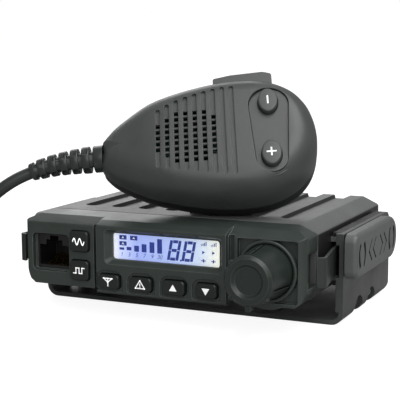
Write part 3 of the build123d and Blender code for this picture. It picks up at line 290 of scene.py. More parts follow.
BLACK_GREEN = (0.031, 0.040, 0.035)
finishes = {
    # the case's side walls are made near black: painted shade on its sides
    "case_metal": moulded("case_paint", (0.112, 0.117, 0.114), 0.44, grain=0.30, grain_scale=2600.0,
                          side_shade=0.95),
    # the bezel, knob and lever take strongly lightened edges: painted highlights on their rims, with some
    # wear
    "bezel_plastic": moulded("bezel_plastic", BLACK_GREEN, 0.36, grain=0.10, edge=0.4 * MM, wear_and_highlight=1.7),
    "knob_plastic": moulded("knob_plastic", (0.018, 0.025, 0.021), 0.32, grain=0.08, edge=0.35 * MM,
                            wear_and_highlight=1.7),
    "key_rubber": moulded("key_rubber", (0.010, 0.014, 0.012), 0.38, grain=0.10, wear_and_highlight=0.6),
    "bracket_steel": moulded("powder_coat", (0.050, 0.055, 0.052), 0.40, grain=0.35, grain_scale=1500.0),
    "lever_steel": moulded("black_oxide", (0.022, 0.027, 0.024), 0.36, grain=0.12, wear_and_highlight=1.7),
    # the guide rails are near black as painted shade: they lie in the shadow between the case and the
    # bracket arms
    "rail_plastic": moulded("rail_plastic", (0.006, 0.006, 0.006), 0.6, grain=0.12, wear_and_highlight=0.1),
    "cover_plastic": moulded("cover_plastic", (0.098, 0.104, 0.101), 0.44, grain=0.22),
    "mic_grey": moulded("microphone_face", (0.052, 0.056, 0.054), 0.40, grain=0.22, grain_scale=3000.0,
                        wear_and_highlight=0.4),
    "mic_black": moulded("microphone_back", (0.010, 0.012, 0.011), 0.45, grain=0.22, grain_scale=3000.0,
                        specular=0.35),
    "cord_rubber": moulded("cord_jacket", (0.027, 0.032, 0.030), 0.32, grain=0.06, wear_and_highlight=0.0),
    "socket_plastic": moulded("socket_plastic", (0.006, 0.006, 0.006), 0.30, grain=0.05, wear_and_highlight=0.2),
    "light_guide": moulded("light_guide", (0.75, 0.79, 0.85), 0.35, mottle=0.03, grain=0.05, wear_and_highlight=0.1),
    "insulator": moulded("insulator", (0.80, 0.79, 0.74), 0.45, mottle=0.03, grain=0.05, wear_and_highlight=0.1),
    "chips": moulded("moulded_epoxy", (0.020, 0.020, 0.022), 0.5, grain=0.15),
    "circuit_board": moulded("solder_mask", (0.012, 0.085, 0.035), 0.30, grain=0.5, pattern=traces),
    "steel": moulded("zinc_plate", (0.46, 0.46, 0.47), 0.32, metal=1.0, grain=0.12, pattern=brushed,
                     wear_and_highlight=0.2),
    "nickel": moulded("nickel_plate", (0.66, 0.64, 0.60), 0.18, metal=1.0, grain=0.05, pattern=brushed,
                      wear_and_highlight=0.2),
    "brass": moulded("gilt_contact", (0.80, 0.58, 0.24), 0.25, metal=1.0, grain=0.05, wear_and_highlight=0.2),
    "tie_fabric": moulded("woven_strap", (0.018, 0.018, 0.019), 0.75, grain=0.7, pattern=woven, wear_and_highlight=0.0),
    "window": clear_finish("clear_window", (0.97, 0.98, 1.0)),
    "clear_plastic": clear_finish("clear_plug", (0.86, 0.90, 0.92), 0.08),
}
panel_low, panel_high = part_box("lcd_panel")
finishes["display"] = display_finish(panel_low[0] + 0.9 * MM, panel_high[0] - 0.9 * MM)


def ink(name, colour, glow, strength, **look):
    """A print with a faint glow of its own: painted light that makes it read brighter."""
    made = moulded(name, colour, edge=0.02 * MM, wear_and_highlight=0.0, **look)
    put(made.node_tree.nodes["Principled BSDF"], Emission_Color=(*glow, 1), Emission_Strength=strength)
    return made


print_white = ink("white_print", (0.80, 0.81, 0.80), (1, 1, 1), 0.4, rough=0.55, mottle=0.03, grain=0.08)
print_navy = ink("display_ink", (0.012, 0.045, 0.34), (0.01, 0.05, 0.45), 0.25, rough=0.5, mottle=0.06,
                 grain=0.03)
# near black for what lies in shade: painted shade on the microphone capsule, in the covers' lens slots and
# in their chevron grooves
shade_black = moulded("black_painted_shade", (0.004, 0.004, 0.004), 0.9, mottle=0.2, grain=0.3, specular=0.1, wear_and_highlight=0.0)


def smooth_modifier(limit):
    """A node group that shades smooth every edge that bends less than the limit."""
    group = bpy.data.node_groups.new("smooth_shading", "GeometryNodeTree")
    group.interface.new_socket("Geometry", in_out="INPUT", socket_type="NodeSocketGeometry")
    group.interface.new_socket("Geometry", in_out="OUTPUT", socket_type="NodeSocketGeometry")
    start = group.nodes.new("NodeGroupInput")
    end = group.nodes.new("NodeGroupOutput")
    merge = group.nodes.new("GeometryNodeMergeByDistance")
    merge.inputs["Distance"].default_value = 1e-6
    angle = group.nodes.new("GeometryNodeInputMeshEdgeAngle")
    gentle = group.nodes.new("FunctionNodeCompare")
    gentle.operation = "LESS_THAN"
    gentle.inputs[1].default_value = limit
    faces = group.nodes.new("GeometryNodeSetShadeSmooth")
    edges = group.nodes.new("GeometryNodeSetShadeSmooth")
    edges.domain = "EDGE"
    link = group.links.new
    link(start.outputs[0], merge.inputs["Geometry"])
    link(merge.outputs["Geometry"], faces.inputs["Geometry"])
    link(faces.outputs["Geometry"], edges.inputs["Geometry"])
    link(angle.outputs["Unsigned Angle"], gentle.inputs[0])
    link(gentle.outputs["Result"], edges.inputs["Shade Smooth"])
    link(edges.outputs["Geometry"], end.inputs[0])
    return group


smoothing = smooth_modifier(radians(28))
for part in frame["record"]["subparts"]:
    obj = nodes[part["node"]]
    obj.data.materials.clear()
    obj.data.materials.append(finishes[part["material_slot"]])
    obj.modifiers.new("smooth", "NODES").node_group = smoothing
# the microphone capsule is made near black: painted shade behind the grille's holes
nodes["mic_capsule"].data.materials[0] = shade_black

# ================================================================ mesh helpers


def new_piece(name, data, material, body):
    """An object that rides on a body, with the finish it is given."""
    obj = bpy.data.objects.new(name, data)
    bpy.context.scene.collection.objects.link(obj)
    data.materials.append(material)
    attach(obj, body)
    return obj


def mesh_from(name, points, faces, sharp=30):
    """A mesh with merged points, outward faces, and edges sharper than that angle left sharp."""
    data = bpy.data.meshes.new(name)
    data.from_pydata([tuple(p) for p in points], [], faces)
    work = bmesh.new()
    work.from_mesh(data)
    bmesh.ops.remove_doubles(work, verts=work.verts, dist=1e-6)
    bmesh.ops.dissolve_degenerate(work, edges=work.edges, dist=1e-7)
    bmesh.ops.recalc_face_normals(work, faces=work.faces)
    work.to_mesh(data)
    work.free()
    data.shade_smooth()
    data.set_sharp_from_angle(angle=radians(sharp))
    return data


def ring_faces(rings, count):
    """The faces between that many rings, each of count points."""
    return [(r * count + i, r * count + j, (r + 1) * count + j, (r + 1) * count + i)
            for r in range(rings - 1) for i, j in enumerate([*range(1, count), 0])]


def prisms(outlines, place, low, high):
    """Points and faces of flat outlines, each raised from low to high; place(a, b, height) is in metres."""
    points, faces = [], []
    for outline in outlines:
        first, count = len(points), len(outline)
        points += [place(a, b, height) for height in (low, high) for a, b in outline]
        faces.append(tuple(range(first, first + count)))
        faces.append(tuple(range(first + 2 * count - 1, first + count - 1, -1)))
        faces += [(first + i, first + (i + 1) % count, first + count + (i + 1) % count, first + count + i)
                  for i in range(count)]
    return points, faces


def slot_outline(middle, length, width, steps=8):
    """A slot with round ends, its length along the second direction."""
    a, b = middle
    half, radius = length / 2 - width / 2, width / 2
    ends = [(b + half, 0.0), (b - half, pi)]
    return [(a + radius * cos(turn + pi * i / steps), end + radius * sin(turn + pi * i / steps))
            for end, turn in ends for i in range(steps + 1)]


def box_outline(a, b, width, height):
    """A rectangle about its middle."""
    return [(a - width / 2, b - height / 2), (a + width / 2, b - height / 2),
            (a + width / 2, b + height / 2), (a - width / 2, b + height / 2)]


def disc_outline(a, b, radius, steps=24):
    """A circle about its middle."""
    return [(a + radius * cos(2 * pi * i / steps), b + radius * sin(2 * pi * i / steps))
            for i in range(steps)]


def strokes(points, width):
    """The runs of a drawn line, as one outline each, square at their ends."""
    outlines = []
    for start, end in zip(points, points[1:]):
        along = (Vector(end) - Vector(start)).normalized() * width / 2
        side = Vector((-along.y, along.x))
        corners = (Vector(start) - along - side, Vector(end) + along - side,
                   Vector(end) + along + side, Vector(start) - along + side)
        outlines.append([tuple(corner) for corner in corners])
    return outlines


# ================================================================ the microphone's directions
MIC_PLACE = Vector((15.9, -20.5, 55.0))
MIC_ELEVATION, MIC_TURN, MIC_ROLL = radians(39), radians(18), radians(6)
MIC_W = Vector((cos(MIC_ELEVATION) * sin(MIC_TURN), -cos(MIC_ELEVATION) * cos(MIC_TURN), sin(MIC_ELEVATION)))
mic_level_way = Vector((cos(MIC_TURN), sin(MIC_TURN), 0))
MIC_U = mic_level_way * cos(MIC_ROLL) + MIC_W.cross(mic_level_way) * sin(MIC_ROLL)
MIC_V = MIC_W.cross(MIC_U)


def mic_point(u, v, w):
    """A point of the microphone, in metres: u along it, v up its face, w out of its face, in mm."""
    return (MIC_PLACE + MIC_U * u + MIC_V * v + MIC_W * w) * MM


# ================================================================ cord
CORD_R = 2.1
TIE = 0.6
COIL_AT = (-124.0, -27.0)
COIL_OUTER, COIL_INNER = 29.4, 16.8  # middles of the outermost and innermost turns
COIL_LOW = TIE + CORD_R
COIL_HIGH = COIL_LOW + 2 * CORD_R
POINTS_PER_TURN = 16
LAYER_TURNS = 3
CLIMB = POINTS_PER_TURN // 4  # points in the quarter turn between the layers
MIC_TAIL = -45.0
RELIEF_W = 2.0
relief_route = [mic_point(MIC_TAIL + 0.5, 0, RELIEF_W), mic_point(-57.5, 0, RELIEF_W),
                Vector((-49.6, -48.6, 47.6)) * MM]
lead_route = [Vector(p) * MM for p in [
    (-58.5, -52.2, 42.0), (-67.0, -55.4, 33.0), (-75.5, -58.0, 22.5), (-84.0, -59.4, 12.5),
    (-94.0, -59.0, 5.6), (-107.0, -57.7, COIL_LOW)]]
tail_x = COIL_AT[0] - COIL_OUTER
tail_route = [Vector(p) * MM for p in [
    (tail_x - 0.7, COIL_AT[1] + 11, 6.4), (tail_x - 0.4, COIL_AT[1] + 22, 5.0)]]


def coil_point(step):
    """The coil's point number step: clockwise from its front, inward on the floor, then outward on top."""
    layer = LAYER_TURNS * POINTS_PER_TURN
    inward = min(step / layer, 1.0)
    outward = max(0.0, (step - layer - CLIMB) / layer)
    climbed = min(max((step - layer) / CLIMB, 0.0), 1.0)
    radius = COIL_OUTER + (COIL_INNER - COIL_OUTER) * (inward - outward)
    angle = -pi / 2 - 2 * pi * step / POINTS_PER_TURN
    return Vector((COIL_AT[0] + radius * cos(angle), COIL_AT[1] + radius * sin(angle),
                   COIL_LOW + (COIL_HIGH - COIL_LOW) * climbed)) * MM


coil_route = [coil_point(step) for step in range(2 * LAYER_TURNS * POINTS_PER_TURN + CLIMB + 1)]


def nurbs(name, route):
    """A smooth open curve with those points as its control points."""
    curve = bpy.data.curves.new(name, "CURVE")
    curve.dimensions = "3D"
    curve.resolution_u = 8
    spline = curve.splines.new("NURBS")
    spline.points.add(len(route) - 1)
    for point, place in zip(spline.points, route):
        point.co = (*place, 1)
    spline.order_u = 3
    spline.use_endpoint_u = True
    return curve


cord_line = nurbs("microphone_cord", relief_route + lead_route + coil_route + tail_route)
cord_line.bevel_depth = CORD_R * MM
cord_line.bevel_resolution = 6
cord = new_piece("microphone_cord", cord_line, finishes["cord_rubber"], "microphone")
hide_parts("mic_cord", "mic_cord_coil")


def curve_points(curve):
    """The points along a curve's own line."""
    bare = curve.copy()
    bare.bevel_depth = 0
    holder = bpy.data.objects.new("line", bare)
    line = bpy.data.meshes.new_from_object(holder)
    points = [v.co.copy() for v in line.vertices]
    bpy.data.objects.remove(holder)
    return points


cord_points = curve_points(cord_line)

# round the strain relief, webs lie where the level part of the direction is over WEB_COS, and windows
# between that and WINDOW_COS
WEB_COS, WINDOW_COS = 0.86, 0.40


def lofted_tube(name, spine, stations):
    """A tube along a line; stations are (distance, radius above and below, radius between, radius at its
    front and back) in mm."""
    steps = 36
    gone = [0.0]
    for a, b in zip(spine, spine[1:]):
        gone.append(gone[-1] + (b - a).length)
    points = []
    side = None
    for distance, rim, window, web in stations:
        at = min(max(distance * MM, 0.0), gone[-1] - 1e-7)
        i = max(k for k in range(len(gone) - 1) if gone[k] <= at)
        share = (at - gone[i]) / (gone[i + 1] - gone[i])
        middle = spine[i].lerp(spine[i + 1], share)
        ahead = (spine[i + 1] - spine[i]).normalized()
        if i + 2 < len(spine):
            ahead = ahead.lerp((spine[i + 2] - spine[i + 1]).normalized(), share * 0.5).normalized()
        side = ahead.cross(Vector((0, 0, 1))) if side is None else side
        side = (side - ahead * side.dot(ahead)).normalized()
        other = ahead.cross(side)
        for k in range(steps):
            turn = 2 * pi * k / steps
            level = abs(cos(turn))
            reach = web if level > WEB_COS else window if level > WINDOW_COS else rim
            points.append(middle + (side * cos(turn) + other * sin(turn)) * reach * MM)
    count = len(stations)
    faces = ring_faces(count, steps)
    faces.append(tuple(range(steps)))
    faces.append(tuple(range(count * steps - 1, (count - 1) * steps - 1, -1)))
    return mesh_from(name, points, faces, 45)


def even(distance, radius):
    """A round station."""
    return (distance, radius, radius, radius)


# a collar at the shell, five windowed ribs joined by webs, and an end collar, on a thin core
RIBS, RIB_PITCH, RIB_WIDTH, FIRST_RIB = 5, 3.85, 2.65, 4.55
RIB_R, RIB_TAPER = 4.6, 0.27  # the first rib's radius, and how much smaller each next one is
CORE_R = 2.35
stations = [even(0.1, 0.1), even(0.1, RIB_R), even(3.1, RIB_R), even(3.3, 4.4),
            (3.35, CORE_R + 0.3, CORE_R + 0.3, 4.0)]
for rib in range(RIBS):
    start = FIRST_RIB + rib * RIB_PITCH
    end = start + RIB_WIDTH
    radius = RIB_R - RIB_TAPER * rib
    deep, web = radius - 0.7, radius - 0.55
    stations += [(start, CORE_R + 0.3, CORE_R + 0.3, web), even(start + 0.05, radius - 0.12),
                 even(start + 0.2, radius), even(start + 0.6, radius),
                 (start + 0.65, radius, deep, radius), (end - 0.65, radius, deep, radius),
                 even(end - 0.6, radius - 0.05), even(end - 0.2, radius - 0.08), even(end, radius - 0.2),
                 (end + 0.05, CORE_R + 0.2, CORE_R + 0.2, web - 0.2)]
last = FIRST_RIB + RIBS * RIB_PITCH
stations += [(last, CORE_R + 0.15, CORE_R + 0.15, 2.9), even(last + 0.05, 3.15), even(last + 1.5, 3.0),
             even(last + 1.8, 2.7), even(last + 1.8, 0.1)]
relief = new_piece("cord_strain_relief", lofted_tube("cord_strain_relief", cord_points, stations),
                   finishes["cord_rubber"], "microphone")
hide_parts("strain_relief")

# ================================================================ microphone shells
MIC_FACE = 14.4
MIC_BACK = 7.6
MIC_HALF = [(MIC_TAIL, 4.4), (MIC_TAIL + 0.6, 5.6), (-40, 9.9), (-30, 15.8), (-22, 18.7), (-14, 20.9),
            (-4, 22.6), (6, 22.7), (14, 20.9), (21, 16.6), (25.7, 9.6), (27.5, 0)]
SPINE = (-38.0, 8.0)  # the face's middle line, which the rings close on
STEPS = 6  # outline points between two of the half outline's
FLAT_RINGS = 6  # rings of a surface's flat middle
# rings of each surface: how far in from the outline, and how high
FRONT_RINGS = [(0.25, 0.0), (0.0, 0.25), (0.0, 2.2), (0.0, 4.4), (0.2, 6.6), (0.6, 8.4), (1.3, 10.1),
               (2.3, 11.7), (3.6, 13.0), (5.2, 13.9), (7.0, 14.32), (8.2, MIC_FACE)]
FRONT_INSIDE = [(1.8, 0.0), (1.8, 4.4), (2.1, 6.8), (3.0, 9.2), (4.3, 11.1), (6.0, 12.2), (8.2, 12.6)]
BACK_RINGS = [(0.5, -0.1), (0.2, -0.4), (0.2, -3.0), (0.45, -4.5), (1.2, -5.8), (2.3, -6.8), (3.7, -7.4),
              (5.2, -MIC_BACK)]
BACK_INSIDE = [(2.0, -0.1), (2.0, -3.0), (2.6, -4.8), (4.0, -5.6), (5.6, -5.8)]


def catmull(before, start, end, after, share):
    """A point between start and end on the smooth line through all four."""
    return 0.5 * (2 * start + (end - before) * share
                  + (2 * before - 5 * start + 4 * end - after) * share ** 2
                  + (3 * start - before - 3 * end + after) * share ** 3)


def mic_outline():
    """The microphone's closed outline: along the upper half to the round end and back along the lower."""
    half = [Vector(p) for p in MIC_HALF]
    knots = [half[0], *half, Vector((half[-2].x, -half[-2].y))]
    upper = [catmull(*knots[i:i + 4], step / STEPS) for i in range(len(half) - 1) for step in range(STEPS)]
    upper.append(half[-1])
    lower = [Vector((p.x, -p.y)) for p in reversed(upper[:-1])]
    tail = [Vector((MIC_TAIL, y)) for y in (-2.2, 0.0, 2.2)]
    return upper + lower + tail


FACE_SLOPE = 0.325  # how fast the face falls towards the tail
SLOPE_FROM, SLOPE_BLEND = -26.0, 5.0


def face_share(u):
    """The height of the face at u, as a share of its full height: it slopes down towards the tail."""
    past = SLOPE_FROM - u
    if past <= -SLOPE_BLEND:
        drop = 0.0
    elif past < SLOPE_BLEND:
        drop = (past + SLOPE_BLEND) ** 2 / (4 * SLOPE_BLEND)
    else:
        drop = past
    return 1 - FACE_SLOPE * drop / MIC_FACE


def ring_points(inset, w, sloped, share=0.0):
    """One ring of a microphone surface: inset from the outline, and then a share of the way to the spine."""
    points = []
    for p in mic_outline():
        q = Vector((min(max(p.x, SPINE[0]), SPINE[1]), 0))
        spot = (p + (q - p).normalized() * inset).lerp(q, share)
        points.append(mic_point(spot.x, spot.y, w * (face_share(spot.x) if sloped else 1)))
    return points


def mic_half(name, outside, inside, sloped):
    """A hollow half of the microphone, from the rings of its outer and inner surfaces."""
    surfaces = []
    for rings in (outside, inside):
        flat = [ring_points(*rings[-1], sloped, k / FLAT_RINGS) for k in range(1, FLAT_RINGS + 1)]
        surfaces.append([ring_points(inset, w, sloped) for inset, w in rings] + flat)
    loop = list(reversed(surfaces[1])) + surfaces[0]
    count = len(loop[0])
    points = [p for ring in loop for p in ring]
    return mesh_from(name, points, ring_faces(len(loop), count))


def cut(obj, name, points, faces):
    """Cuts closed prisms out of a piece, for good."""
    tool = bpy.data.objects.new(name, mesh_from(name, points, faces))
    bpy.context.scene.collection.objects.link(tool)
    boolean = obj.modifiers.new(name, "BOOLEAN")
    boolean.object = tool
    boolean.operation = "DIFFERENCE"
    boolean.solver = "EXACT"
    done = bpy.data.meshes.new_from_object(obj.evaluated_get(bpy.context.evaluated_depsgraph_get()))
    obj.modifiers.clear()
    obj.data = done
    bpy.data.objects.remove(tool)
    done.shade_smooth()
    done.set_sharp_from_angle(angle=radians(32))


GRILLE = [(-24.7, 9.6, -12.8), (-21.6, 11.4, -13.6), (-18.5, 12.9, -14.3), (-15.4, 14.0, -15.0),
          (-12.3, 15.0, -15.6), (-9.2, 15.8, -16.2), (-6.1, 16.5, -16.8), (-3.0, 16.9, -17.3),
          (0.1, 17.0, -17.6)]  # each slot's place, top and bottom
OPEN_SLOTS = 7  # how many of them have sound holes
SLOT_WIDTH, SLOT_DEPTH = 1.5, 1.0
HOLES_AT = (-14.6, -1.4)  # middle of the round field of sound holes
HOLES_R = 11.2
HOLE_PITCH, HOLE_GAP = 2.3, 0.75
HOLE_MARGIN = 1.4  # least way from a hole's middle to its slot's end
KEYPLATE = [(12.2, 8.3, 6.7), (12.2, -12.3, 5.3)]  # the circles whose hull is its outline
TALK_OPENING = (4.0, 7.1, 20.6, 8.4)  # middle along and out, length and width
CORD_OPENING_R, SCREW_HOLE_R, HANG_HOLE_R = 3.4, 1.9, 1.6
HANG_AT = (-4.0, 2.0)
MIC_SCREWS = [(-33.0, 0.0), (22.6, 5.5), (22.6, -5.5)]

front_shell = new_piece("microphone_front", mic_half("microphone_front", FRONT_RINGS, FRONT_INSIDE, True),
                        finishes["mic_grey"], "microphone")
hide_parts("mic_front_shell")
grooves = [slot_outline((u, (top + bottom) / 2), top - bottom, SLOT_WIDTH) for u, top, bottom in GRILLE]
cut(front_shell, "grooves", *prisms(grooves, mic_point, MIC_FACE - SLOT_DEPTH, MIC_FACE + 3))
sound_holes = []
for u, top, bottom in GRILLE[:OPEN_SLOTS]:
    for k in range(-8, 9):
        v = HOLES_AT[1] + k * HOLE_PITCH
        in_field = (u - HOLES_AT[0]) ** 2 + (v - HOLES_AT[1]) ** 2 < HOLES_R ** 2
        if in_field and bottom + HOLE_MARGIN < v < top - HOLE_MARGIN:
            sound_holes.append(box_outline(u, v, SLOT_WIDTH - 0.02, HOLE_PITCH - HOLE_GAP))
cut(front_shell, "sound_holes", *prisms(sound_holes, mic_point, 11.0, MIC_FACE - 0.4))


def hull_outline(grow, steps=28):
    """The hull of the key plate's two circles."""
    (u0, v0, r0), (u1, v1, r1) = KEYPLATE
    lean = (r0 - r1) / (v0 - v1)
    upper = [(u0 + (r0 + grow) * cos(a), v0 + (r0 + grow) * sin(a))
             for a in (-lean + (pi + 2 * lean) * i / steps for i in range(steps + 1))]
    lower = [(u1 + (r1 + grow) * cos(a), v1 + (r1 + grow) * sin(a))
             for a in (pi + lean + (pi - 2 * lean) * i / steps for i in range(steps + 1))]
    return upper + lower


cut(front_shell, "key_plate_opening", *prisms([hull_outline(0)], mic_point, 12.0, MIC_FACE + 3))
cut(front_shell, "talk_opening", *prisms([box_outline(*TALK_OPENING)],
                                         lambda u, w, v: mic_point(u, v, w), 16.0, 27.0))
cord_opening = prisms([disc_outline(0, RELIEF_W, CORD_OPENING_R)], lambda v, w, u: mic_point(u, v, w),
                      MIC_TAIL - 5.0, MIC_TAIL + 5.0)
cut(front_shell, "cord_opening", *cord_opening)

back_shell = new_piece("microphone_back", mic_half("microphone_back", BACK_RINGS, BACK_INSIDE, False),
                       finishes["mic_black"], "microphone")
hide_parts("mic_back_shell")
screw_holes = [disc_outline(u, v, SCREW_HOLE_R) for u, v in MIC_SCREWS]
screw_holes.append(disc_outline(*HANG_AT, HANG_HOLE_R))
cut(back_shell, "screw_holes", *prisms(screw_holes, mic_point, -9.0, -3.0))
cut(back_shell, "cord_opening", *cord_opening)

# ================================================================ prints on the keys and the display


def printed(name, outlines, place, low, high, material, body, slot_name):
    """Thin shapes laid on a surface."""
    points, faces = prisms(outlines, place, low, high)
    return new_piece(name, mesh_from(name, points, faces), material, body)


def front_place(at, face):
    """Lays a drawing about its own middle on a surface that faces -Y; height is out of it. All in mm."""
    return lambda a, b, height: Vector((at[0] + a, face - height, at[1] + b)) * MM


PRINT = (-0.02, 0.04)  # a print's underside and its top, over the surface it is on
LINE = 0.36  # width of a drawn line
KEY_FACES = {  # each key's middle, and the depth of its face
    "waveform_button": ((-29.3, 25.5), -49.2), "squelch_button": ((-29.3, 15.6), -49.2),
    "gain_button": ((-17.3, 13.1), -50.7), "emergency_button": ((-5.3, 13.1), -50.7),
    "channel_up_button": ((6.7, 13.1), -50.7), "channel_down_button": ((18.3, 13.1), -50.7)}
wave = [(-2.2 + 4.4 * i / 24, 1.05 * sin(2 * pi * i / 12)) for i in range(25)]
square_wave = [(-2.1, -0.9), (-1.1, -0.9), (-1.1, 0.9), (0.1, 0.9), (0.1, -0.9), (1.2, -0.9), (1.2, 0.9),
               (2.1, 0.9)]
antenna = (strokes([(0, -1.3), (0, 1.2)], LINE) + strokes([(-1.5, 1.2), (0, -0.1), (1.5, 1.2)], LINE)
           + strokes([(-1.7, 1.2), (1.7, 1.2)], LINE))
warning = (strokes([(-1.7, -1.15), (0, 1.45), (1.7, -1.15), (-1.7, -1.15)], 0.34)
           + [box_outline(0, 0.05, 0.34, 0.95), box_outline(0, -0.75, 0.34, 0.34)])
KEY_PRINTS = {
    "waveform_button": strokes(wave, LINE), "squelch_button": strokes(square_wave, LINE),
    "gain_button": antenna, "emergency_button": warning,
    "channel_up_button": [[(-1.35, -0.95), (1.35, -0.95), (0, 1.25)]],
    "channel_down_button": [[(-1.35, 0.95), (0, -1.25), (1.35, 0.95)]]}
for key, (at, face) in KEY_FACES.items():
    printed(key + "_print", KEY_PRINTS[key], front_place(at, face), *PRINT, print_white, key, "key_rubber")

MIC_KEY_TOP = 15.3
MIC_PRINTS = {"mic_minus_button": ((12.1, 9.4), "minus_key", [box_outline(0, 0, 0.5, 3.2)]),
              "mic_plus_button": ((12.1, -11.1), "plus_key",
                                  [box_outline(0, 0, 0.5, 3.2), box_outline(0, 0, 3.2, 0.5)])}
for key, ((u, v), body, shapes) in MIC_PRINTS.items():
    printed(key + "_print", shapes, lambda a, b, height: mic_point(u + a, v + b, MIC_KEY_TOP + height),
            *PRINT, print_white, body, "mic_grey")

# the display, drawn in shares of its width and height
GLASS_X = (-16.6, 22.2)
GLASS_Z = (20.6, 29.3)
PANEL_Y = -46.4
SLANT = 0.10  # how far an upright leans over, per unit of height
glass_width, glass_height = GLASS_X[1] - GLASS_X[0], GLASS_Z[1] - GLASS_Z[0]


def glass(s, t, height=0.0):
    """A point of the display, from shares across and up it."""
    return Vector((GLASS_X[0] + s * glass_width, PANEL_Y - height, GLASS_Z[0] + t * glass_height)) * MM


def panel_box(s, t):
    """A rectangle on the display between shares s and t."""
    return [(s[0], t[0]), (s[1], t[0]), (s[1], t[1]), (s[0], t[1])]


BARS = [(0.045, 0.43), (0.115, 0.47), (0.188, 0.54), (0.260, 0.62), (0.335, 0.72), (0.408, 0.86)]
BAR_WIDTH = 0.046
marks = [panel_box((s, s + BAR_WIDTH), (0.31 if i > 1 else 0.34, top)) for i, (s, top) in enumerate(BARS)]


def seven_segment(s, t, width, height, thick):
    """A leaning digit with all seven segments, in shares of the display."""
    ratio = glass_width / glass_height
    across = thick / ratio  # a segment's thickness, across instead of up
    gap = 0.012
    lean = SLANT * height / ratio

    def leaning(a, b):
        """A point of the digit, a across it and b up it."""
        return (s + a + lean * (b / height - 0.5) * 2, t + b)

    made = []
    inset = across + gap / 3
    for low in (0.0, height / 2 - thick / 2, height - thick):
        made.append([leaning(inset, low), leaning(width - inset, low), leaning(width - inset, low + thick),
                     leaning(inset, low + thick)])
    for a in (0.0, width - across):
        for low in (gap, height / 2 + gap):
            top = low + height / 2 - 2 * gap
            made.append([leaning(a, low), leaning(a + across, low), leaning(a + across, top),
                         leaning(a, top)])
    return made


DIGIT_TALL, DIGIT_WIDE, DIGIT_THICK = 0.78, 0.105, 0.115
for s in (0.515, 0.650):
    marks += seven_segment(s, 0.09, DIGIT_WIDE, DIGIT_TALL, DIGIT_THICK)
marks.append(panel_box((0.620, 0.634), (0.08, 0.15)))  # the decimal point


def figure(text, s, t, height):
    """A small generic figure on the display, as a flat mesh."""
    curve = bpy.data.curves.new("figure", "FONT")
    curve.body = text
    curve.align_x = "CENTER"
    curve.size = height * glass_height * MM
    curve.shear = 0.2
    holder = bpy.data.objects.new("figure", curve)
    flat = bpy.data.meshes.new_from_object(holder)
    bpy.data.objects.remove(holder)
    corner = glass(s, t, 0.02)
    flat.transform(Matrix.Translation(corner) @ Matrix.Rotation(pi / 2, 4, "X"))
    return flat


def joined(name, meshes):
    """Several meshes as one."""
    work = bmesh.new()
    for data in meshes:
        work.from_mesh(data)
    made = bpy.data.meshes.new(name)
    work.to_mesh(made)
    work.free()
    return made


figures = [figure(text, s + BAR_WIDTH / 2, 0.10, 0.22)
           for (s, _), text in zip(BARS, ("1", "3", "5", "7", "9", "30"))]
new_piece("display_figures", joined("display_figures", figures), print_navy, "radio")
# status marks: boxed at the left, open ones at the right
boxes = [panel_box((0.045, 0.115), (0.74, 0.91)), panel_box((0.150, 0.220), (0.74, 0.91)),
         panel_box((0.045, 0.115), (0.51, 0.67))]
marks += boxes
for s in (0.815, 0.905):
    for t, kind in ((0.74, "steps"), (0.43, "arrow"), (0.12, "cross")):
        if kind == "steps":
            marks += [panel_box((s + 0.014 * i, s + 0.014 * i + 0.008), (t, t + 0.05 + 0.035 * i))
                      for i in range(4)]
        elif kind == "arrow":
            marks.append([(s + 0.010, t), (s + 0.036, t + 0.065), (s + 0.010, t + 0.13)])
        else:
            marks.append(panel_box((s, s + 0.045), (t + 0.045, t + 0.075)))
            marks.append(panel_box((s + 0.016, s + 0.029), (t, t + 0.12)))
printed("display_marks", marks, glass, 0.005, 0.04, print_navy, "radio", "display")
triangles = []
for box in boxes:
    s, t = (box[0][0] + box[1][0]) / 2, (box[0][1] + box[2][1]) / 2
    triangles.append([(s - 0.013, t - 0.035), (s + 0.013, t - 0.035), (s, t + 0.045)])
printed("display_boxed_marks", triangles, glass, 0.042, 0.06, print_white, "radio", "display")

# ================================================================ the bracket covers' slots and chevrons
COVER_MIDDLE_Z = 23.0
COVER_WALL = (59.8, 61.3)  # how far out its inner and outer faces are
SLOT_BOW, SLOT_WAY = 6.0, 3.2  # radius of a slot's middle line, and how far it is from its lens's middle


def arc_slot(middle, way, width, half_turn=radians(33), steps=10):
    """A curved slot with round ends, bowed towards way (1 or -1) in the first direction."""
    made = []
    for radius, sweep in ((SLOT_BOW + width / 2, 1), (SLOT_BOW - width / 2, -1)):
        made += [(middle[0] + way * radius * cos(a), middle[1] + radius * sin(a))
                 for a in (sweep * half_turn * (2 * i / steps - 1) for i in range(steps + 1))]
        end = (middle[0] + way * SLOT_BOW * cos(half_turn), middle[1] + sweep * SLOT_BOW * sin(half_turn))
        first = sweep * half_turn + (0 if sweep > 0 else pi)
        made += [(end[0] + way * width / 2 * cos(a), end[1] + width / 2 * sin(a))
                 for a in (first + pi * i / 6 for i in range(1, 6))]
    return made
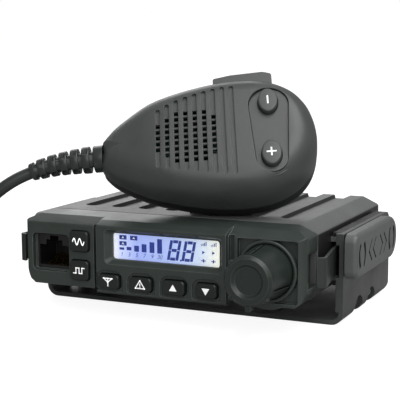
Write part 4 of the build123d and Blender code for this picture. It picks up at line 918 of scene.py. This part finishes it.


# black shapes laid in the covers' lens slots and chevron grooves: painted shade of the grooves
slot_shade_outlines = [arc_slot((y + way * (SLOT_WAY - SLOT_BOW), COVER_MIDDLE_Z), way, 1.74)
                for y in (-22.2, 13.2) for way in (-1, 1)]
CHEVRON_TIPS = ((-14.6, 1), (-9.8, 1), (1.6, -1), (6.4, -1))  # each one's place and which way it opens
CHEVRON_LONG, CHEVRON_HALF, CHEVRON_LINE = 3.4, 3.6, 0.76
chevrons = []
for tip, way in CHEVRON_TIPS:
    back = tip + way * CHEVRON_LONG
    chevrons += strokes([(back, COVER_MIDDLE_Z + CHEVRON_HALF), (tip, COVER_MIDDLE_Z),
                         (back, COVER_MIDDLE_Z - CHEVRON_HALF)], CHEVRON_LINE)
for side, way in (("left", -1), ("right", 1)):
    def cover_place(y, z, x, way=way):
        """Lays a drawing on a cover; x is how far from the middle of the bracket. All in mm."""
        return Vector((way * x, y, z)) * MM

    printed(side + "_slot_painted_shade", slot_shade_outlines, cover_place, COVER_WALL[0], COVER_WALL[1] - 0.2,
            shade_black, "bracket", "rail_plastic")
    printed(side + "_chevron_painted_shade", chevrons, cover_place, COVER_WALL[1] - 0.51, COVER_WALL[1] - 0.08,
            shade_black, "bracket", "rail_plastic")

# ================================================================ floor
FLOOR_HALF, FLOOR_Z = 30.0, -0.02 * MM
FLOOR_GLOW = 0.90  # the floor glows as the camera sees it, so that shadows stay pale
corners = [(x * FLOOR_HALF, y * FLOOR_HALF, FLOOR_Z) for x, y in ((-1, -1), (1, -1), (1, 1), (-1, 1))]
floor_data = bpy.data.meshes.new("floor")
floor_data.from_pydata(corners, [], [(0, 1, 2, 3)])
floor = bpy.data.objects.new("floor", floor_data)
bpy.context.scene.collection.objects.link(floor)
floor_finish, floor_tree, floor_shader = graph("pale_floor")
put(floor_shader, Base_Color=(0.35, 0.35, 0.35, 1), Emission_Color=(1, 1, 1, 1), Roughness=0.9,
    Specular_IOR_Level=0.1)
floor_seen = floor_tree.nodes.new("ShaderNodeLightPath").outputs["Is Camera Ray"]
floor_glow = span(floor_tree, floor_seen, 0.0, 1.0, 0.0, FLOOR_GLOW)
floor_tree.links.new(floor_glow, floor_shader.inputs["Emission Strength"])
floor_data.materials.append(floor_finish)
floor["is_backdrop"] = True

boxes = {"cad": cad_box, "visual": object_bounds()}
